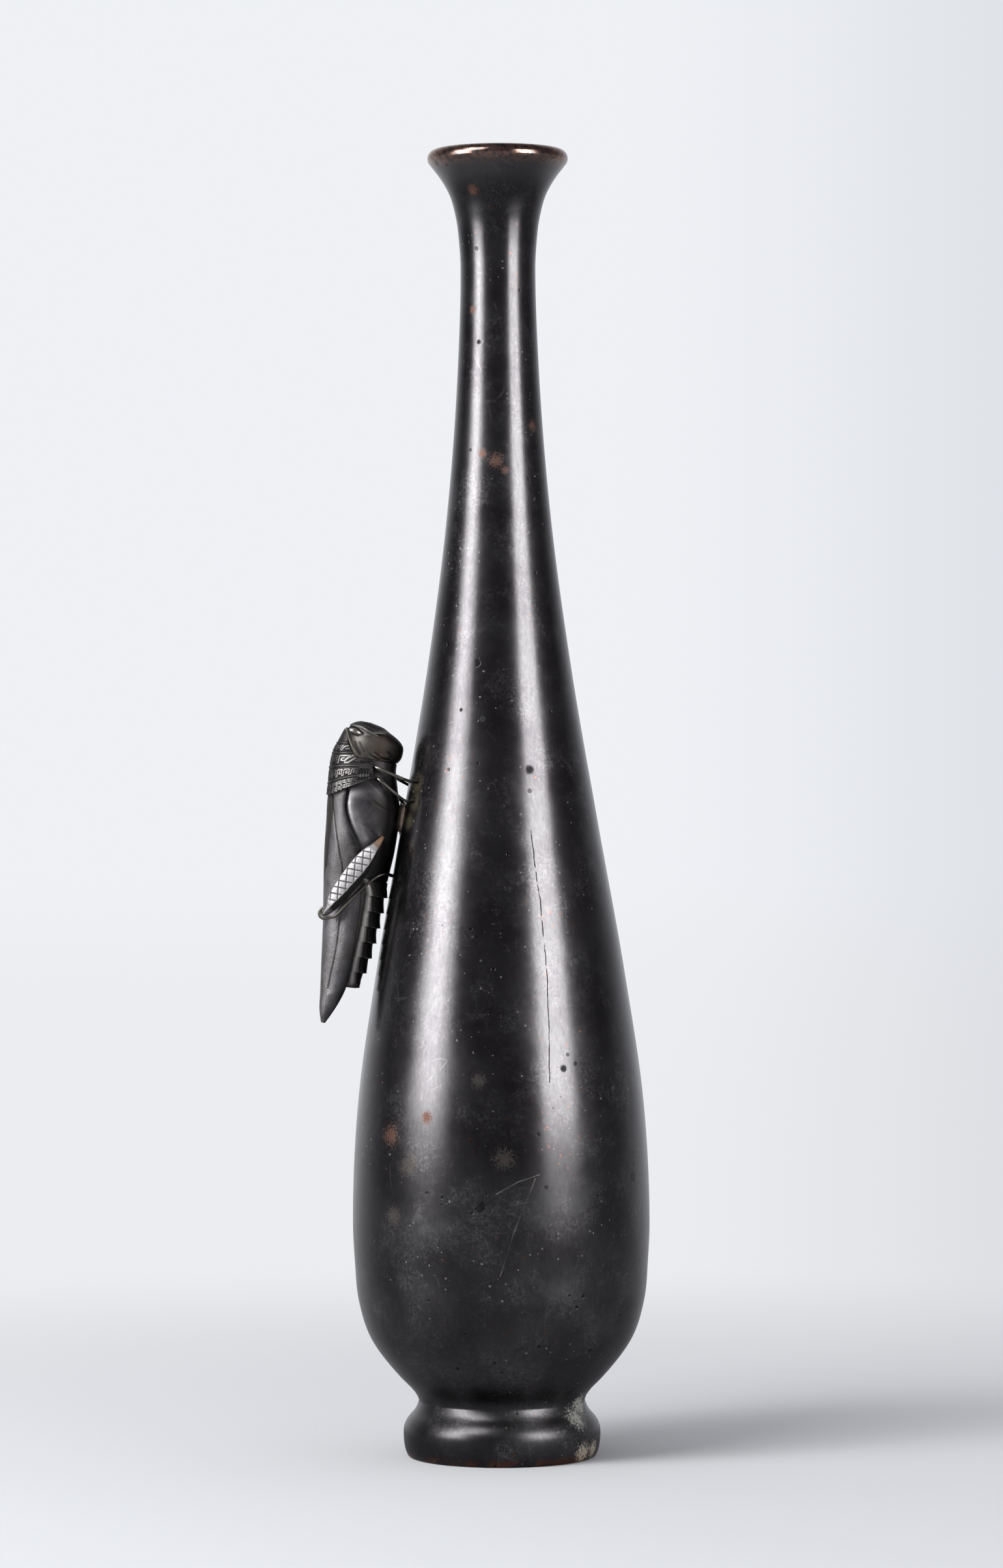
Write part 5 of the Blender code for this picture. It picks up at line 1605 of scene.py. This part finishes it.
dull_wire = wire_metal("dull_wire", (0.17, 0.155, 0.13), (0.30, 0.28, 0.245), 0.30, 0.2)
worn_wire = wire_metal("worn_wire", (0.15, 0.142, 0.128), (0.30, 0.285, 0.26), 0.24, 0.10)
feeler_wire = wire_metal("feeler_wire", (0.085, 0.080, 0.062), (0.165, 0.155, 0.125), 0.34, 0.35)
print("the wall's slope at the legs, in degrees:", round(math.degrees(math.atan(-WALL_SLOPE)), 1))

# %% Antennae
ANTENNA_ROUTE = ((17.1, 15.5), (15.7, 14.95), (13.9, 14.0), (12.3, 12.7), (11.2, 11.4))
ANTENNA_RADIUS = 0.26
ANTENNA_ROOT_SIDE = 1.0
ANTENNA_RINGS = 22

for label, side in SIDES:
    lift = GAP + COLLAR_LIP + GAP + ANTENNA_RADIUS
    route = []
    for s, d in ANTENNA_ROUTE:
        route.append(to_world(s, d, side * max(ANTENNA_ROOT_SIDE, float(side_width(s, d, lift)))))
    points = curved(route, 16)
    t = np.arange(len(points)) / len(points)
    radii = ANTENNA_RADIUS * (1 - 0.45 * t) * (1 + 0.10 * np.sin(2 * math.pi * ANTENNA_RINGS * t))
    feeler = wire("feeler_" + label, points, radii, feeler_wire)
    seat_on_frame(feeler, "antenna_" + label)

# %% Fore and middle legs
FORELEG = {"root": (9.8, 8.0), "radius": 0.35, "up": 7.8, "side": 9.2}
MIDLEG = {"root": (7.2, 7.1), "radius": 0.30, "up": 3.5, "side": 9.0}
LEG_SOCKET_DEPTH = 1.2
LEG_BEND_LIFT = 1.3
LEG_BEND_SIDE = 2.2
LEG_PAST_WALL = 1.2
LEG_TURN_IN = 0.6
LEG_STUB = 0.5
LEFT_LEGS_LOWER = 1.0


def wall_point(z, side, lift):
    """Point beside the bottle's outside at a height, side metres off the middle."""
    r = outer_radius(z) + lift
    return Vector((-math.sqrt(r**2 - side**2), -side, z))


def unit(v):
    """Direction of a vector, with length 1."""
    return Vector(v).normalized()


def leg_route(leg, side):
    """Bent path of a leg from its socket in the chest to inside its hole in the bottle."""
    s, d = leg["root"]
    width = float(side_width(s, d))
    height = SEAT_HEIGHT + (leg["up"] - (LEFT_LEGS_LOWER if side < 0 else 0.0)) * MM
    root_end = Vector(to_world(s, d, side * (width - LEG_SOCKET_DEPTH + GAP)))
    clear = Vector(to_world(s - 0.3, d - 0.9, side * (width + leg["radius"] + 2 * GAP)))
    hole = wall_point(height, side * leg["side"] * MM, 0.0)
    bend = wall_point(height, side * (leg["side"] - LEG_BEND_SIDE) * MM, LEG_BEND_LIFT * MM)
    inward = unit((-hole.x, -hole.y, 0))
    into = unit(inward + unit(hole - bend) * LEG_TURN_IN)
    reach = (WALL + LEG_PAST_WALL * MM) / inward.dot(into)
    points = curved([root_end, clear, bend, hole - into * LEG_STUB * MM], 14)
    return points + [np.array(hole + into * reach)]


leg_holes = []
for name, leg in (("foreleg", FORELEG), ("midleg", MIDLEG)):
    for label, side in SIDES:
        points = leg_route(leg, side)
        leg_holes.append(tuple(points[-2]))
        radii = leg["radius"] * (1 + 0.05 * np.sin(0.9 * np.arange(len(points))))
        made = wire(name + "_wire_" + label, points, radii, worn_wire)
        seat_on_frame(made, name + "_" + label)

# %% Shins and knee pins
LOOP_TURNS = np.radians((55, 85, 120, 155, 190, 220, 248))
TIBIA_RUN = ((-24.35, 11.05, 0.0), (-22.4, 9.65, 0.1), (-20.2, 8.15, 0.25), (-18.0, 6.55, 0.4),
             (-16.0, 5.0, 0.6), (-14.5, 3.6, 0.9), (-13.75, 2.6, 1.3), (-13.4, 1.5, 1.8))
TIBIA_HOLE_DOWN = 13.4
TIBIA_HOLE_SIDE = 4.6
KNEE_PIN_RADIUS = 0.15
KNEE_HEAD_RADIUS = 0.34
KNEE_HEAD_HEIGHT = 0.3
# Radius and height over the thigh's clearance, for the pin's domed head.
KNEE_DOME = ((KNEE_HEAD_RADIUS, 0.01), (KNEE_HEAD_RADIUS, 0.10), (0.28, 0.21),
             (0.18, KNEE_HEAD_HEIGHT), (0.06, KNEE_HEAD_HEIGHT + 0.02))

knee_s, knee_d, knee_w = (float(v[0]) for v in thigh_centre(np.array([1.0])))
knee_half = float(thigh_size(1.0)[2])
turns = around(24)
low, high = knee_w - knee_half - GAP, knee_w + knee_half + GAP
ring_r, ring_w = columns([(KNEE_PIN_RADIUS, low), (KNEE_PIN_RADIUS, high)]
                         + [(r, high + rise) for r, rise in KNEE_DOME])
for label, side in SIDES:
    route = []
    for turn in LOOP_TURNS:
        bend = (thigh_up * math.sin(turn) - thigh_line * math.cos(turn)) * KNEE_LOOP
        route.append(to_world(knee_s + bend[0], knee_d + bend[1], side * knee_w))
    for run_s, run_d, draw_in in TIBIA_RUN:
        route.append(to_world(run_s, run_d, side * (knee_w - draw_in)))
    hole = wall_point(SEAT_HEIGHT - TIBIA_HOLE_DOWN * MM, side * TIBIA_HOLE_SIDE * MM, 0.0)
    leg_holes.append(tuple(hole))
    inward = unit((-hole.x, -hole.y, 0))
    points = curved(route + [hole - inward * LEG_STUB * MM], 9)
    points.append(np.array(hole + inward * (WALL + LEG_PAST_WALL * MM)))
    t = np.arange(len(points)) / len(points)
    radii = TIBIA_RADIUS * (1.06 - 0.25 * between(t, 0.75, 1.0))
    shin = wire("shin_" + label, points, radii, dull_wire)
    seat_on_frame(shin, "hind_tibia_" + label)
    rings = to_world(knee_s + ring_r * np.cos(turns), knee_d + ring_r * np.sin(turns),
                     side * ring_w)
    pin = loft("knee_rivet_" + label, rings)
    seat_on_frame(pin, "knee_pin_" + label, worn_wire)

# %% [markdown]
# ## Where the locust is fixed
#
# A hidden pin holds the insect. Outside, its solder has corroded into a lump between the
# chest and the wall, drawn out towards the tail: tan and rust-brown at the wall, and
# darkened above with painted shade, where it lies under the chest. The lump is the pin's
# own outline, turned, swollen, stretched and made uneven with waves.
# Where the legs enter the wall, each hole is a black spot of painted shade.

# %% Seat lump
PIN_RADIUS = 1.3
PIN_HEAD_RADIUS = 2.4
PIN_HEAD_THICK = 1.0
PIN_SOCKET_DEPTH = 3.0
LUMP_RADIUS = 2.75
LUMP_WAIST = 0.75

chest_face = smooth(CHEST_LINE, 0.0)
bore = inner_radius(SEAT_HEIGHT) / MM
wall_depth = outer_radius(SEAT_HEIGHT) / MM - bore
head_face = -wall_depth - (bore - math.sqrt(bore**2 - PIN_HEAD_RADIUS**2)) - GAP
pin_inside = [(0.2, head_face - PIN_HEAD_THICK),
              (PIN_HEAD_RADIUS * 0.6, head_face - PIN_HEAD_THICK * 0.97),
              (PIN_HEAD_RADIUS, head_face - PIN_HEAD_THICK * 0.5), (PIN_HEAD_RADIUS, head_face),
              (PIN_RADIUS, head_face + 0.02), (PIN_RADIUS, -0.2)]
lump_outside = [(LUMP_RADIUS - LUMP_WAIST * math.sin(math.pi * a) ** 0.8,
                 -0.15 + (chest_face + 0.45) * a) for a in np.linspace(0, 1, 17)]
pin_end = [(PIN_RADIUS, chest_face + 0.35), (PIN_RADIUS, PIN_SOCKET_DEPTH)]
radius, depth = columns(pin_inside + lump_outside + pin_end)
lumpy = np.zeros(radius.shape, bool)
lumpy[len(pin_inside):-len(pin_end)] = True
turns = around(72)
depth = depth + 0 * turns
waves = (0.10 * np.sin(3 * turns + 1.0) + 0.07 * np.sin(7 * turns + 2.2 * depth)
         + 0.05 * np.sin(13 * turns - 3.1 * depth))
radius = radius * (1 + lumpy * waves)
stretch = np.where(lumpy, 1.45 - 0.40 * np.cos(turns), 1.0)
lump_rings = to_world(radius * np.cos(turns) * stretch, depth, radius * np.sin(turns))

solder_crust, where, shader = metal("solder_crust", 0.75, 0.15)
crumbs = use_group(clouds, where, Scale=520.0, Sharpness=0.12)
tone = coats(blend(crumbs["Cloud"], (0.075, 0.050, 0.036), (0.30, 0.25, 0.205)),
             (crumbs["Fine"] * 0.5, (0.17, 0.10, 0.06)),
             (mask(where.tree, "soot"), (0.035, 0.024, 0.019)))
dress(shader, tone, height=noise(where, 1500.0, 4.0, 0.65) * 0.0003, strength=0.9)

# painted shade: the lump darkens towards the chest, under which it lies
lump = loft("seat_lump", lump_rings, soot=0.9 * between(depth, 0.15, 0.75))
seat_on_frame(lump, "seat_pin", solder_crust)

# %% Painted shade round the leg holes
RIM_SIZE = 1.0 * MM

where = object_place(body_patina.node_tree)
# painted shade: a soft black spot where each leg goes into the wall
rims = highest(*(use_group(spot, where, Centre=hole, Size=RIM_SIZE, Ragged=0.3, Soft=0.45)
                 for hole in leg_holes))
recoat(rims * 0.9, SOOT_AND_SHADE)
print("holes with dark rims:", len(leg_holes))

# %% [markdown]
# ## Base plate
#
# Under the foot a thin plate closes the bottle, let into a rebate and held by a bead of
# solder in its chamfer. It was faced on a lathe, so its underside keeps fine rings, and
# it is duller and browner than the body.

# %% Base plate
LATHE_GROOVES = 9
LATHE_DEPTH = 0.05 * MM
LATHE_FROM = 1.5 * MM
PLATE_ROUND = 0.15 * MM
PLATE_HOLLOW = 0.2 * MM

plate_radius = REBATE - FIT
plate_low, plate_high = PLATE_RECESS, PLATE_RECESS + PLATE_THICKNESS
plate_face = plate_radius - PLATE_CHAMFER
disc_outline = [(PLATE_HOLLOW, plate_low)]
disc_outline += [(plate_face * k / 60, plate_low) for k in range(1, 61)]
disc_outline += [(plate_radius, plate_low + PLATE_CHAMFER),
                 (plate_radius, plate_high - PLATE_ROUND),
                 (plate_radius - PLATE_ROUND, plate_high), (PLATE_HOLLOW, plate_high)]
turns = around(120)
r, z = columns(disc_outline)
z = z + 0 * turns
grooves = LATHE_DEPTH * bell(((r / plate_radius * LATHE_GROOVES) % 1.0) - 0.5, 0.12)
grooves = grooves * (z <= plate_low) * (r > LATHE_FROM) * (r < plate_face)
disc_rings = np.stack([r * np.cos(turns), r * np.sin(turns), z + grooves], -1)

plate_metal, where, shader = metal("plate_patina", 0.42, 0.95)
cloud = use_group(clouds, where, Scale=120.0, Sharpness=0.14)
tone = coats(blend(cloud["Cloud"], (0.075, 0.058, 0.045), (0.19, 0.145, 0.105)),
             (cloud["Fine"] * 0.4, VERDIGRIS))
lathe = calc("SINE", from_axis(where) * 14000.0)
dress(shader, tone, 0.36 + cloud["Fine"] * 0.22, lathe * 0.000004 + noise(where, 900.0) * 0.00006)
seat_on_frame(loft("base_plate", disc_rings), "base_disc", plate_metal)

# %% Bead of solder
solder, where, shader = metal("solder", 0.5, 0.85)
cloud = use_group(clouds, where, Scale=260.0, Sharpness=0.2)
dress(shader, blend(cloud["Cloud"], (0.16, 0.155, 0.145), (0.34, 0.33, 0.31)),
      height=noise(where, 420.0) * 0.0004, strength=0.8)

bead_leg = PLATE_CHAMFER - FIT * math.sqrt(2)
bead_outline = [(plate_radius, plate_low + bead_leg), (plate_radius - bead_leg, plate_low),
                (plate_radius - bead_leg * 0.55, plate_low - 0.10 * MM),
                (plate_radius - 0.08 * MM, plate_low - 0.06 * MM),
                (plate_radius, plate_low + 0.04 * MM)]
seat_on_frame(turn_body("plate_solder", bead_outline, 200, solder), "base_solder")

# %% [markdown]
# ## Last steps
#
# The view settings stay plain, so that a colour renders as it is written.

# %% Finish
bpy.context.scene.view_settings.view_transform = "Standard"
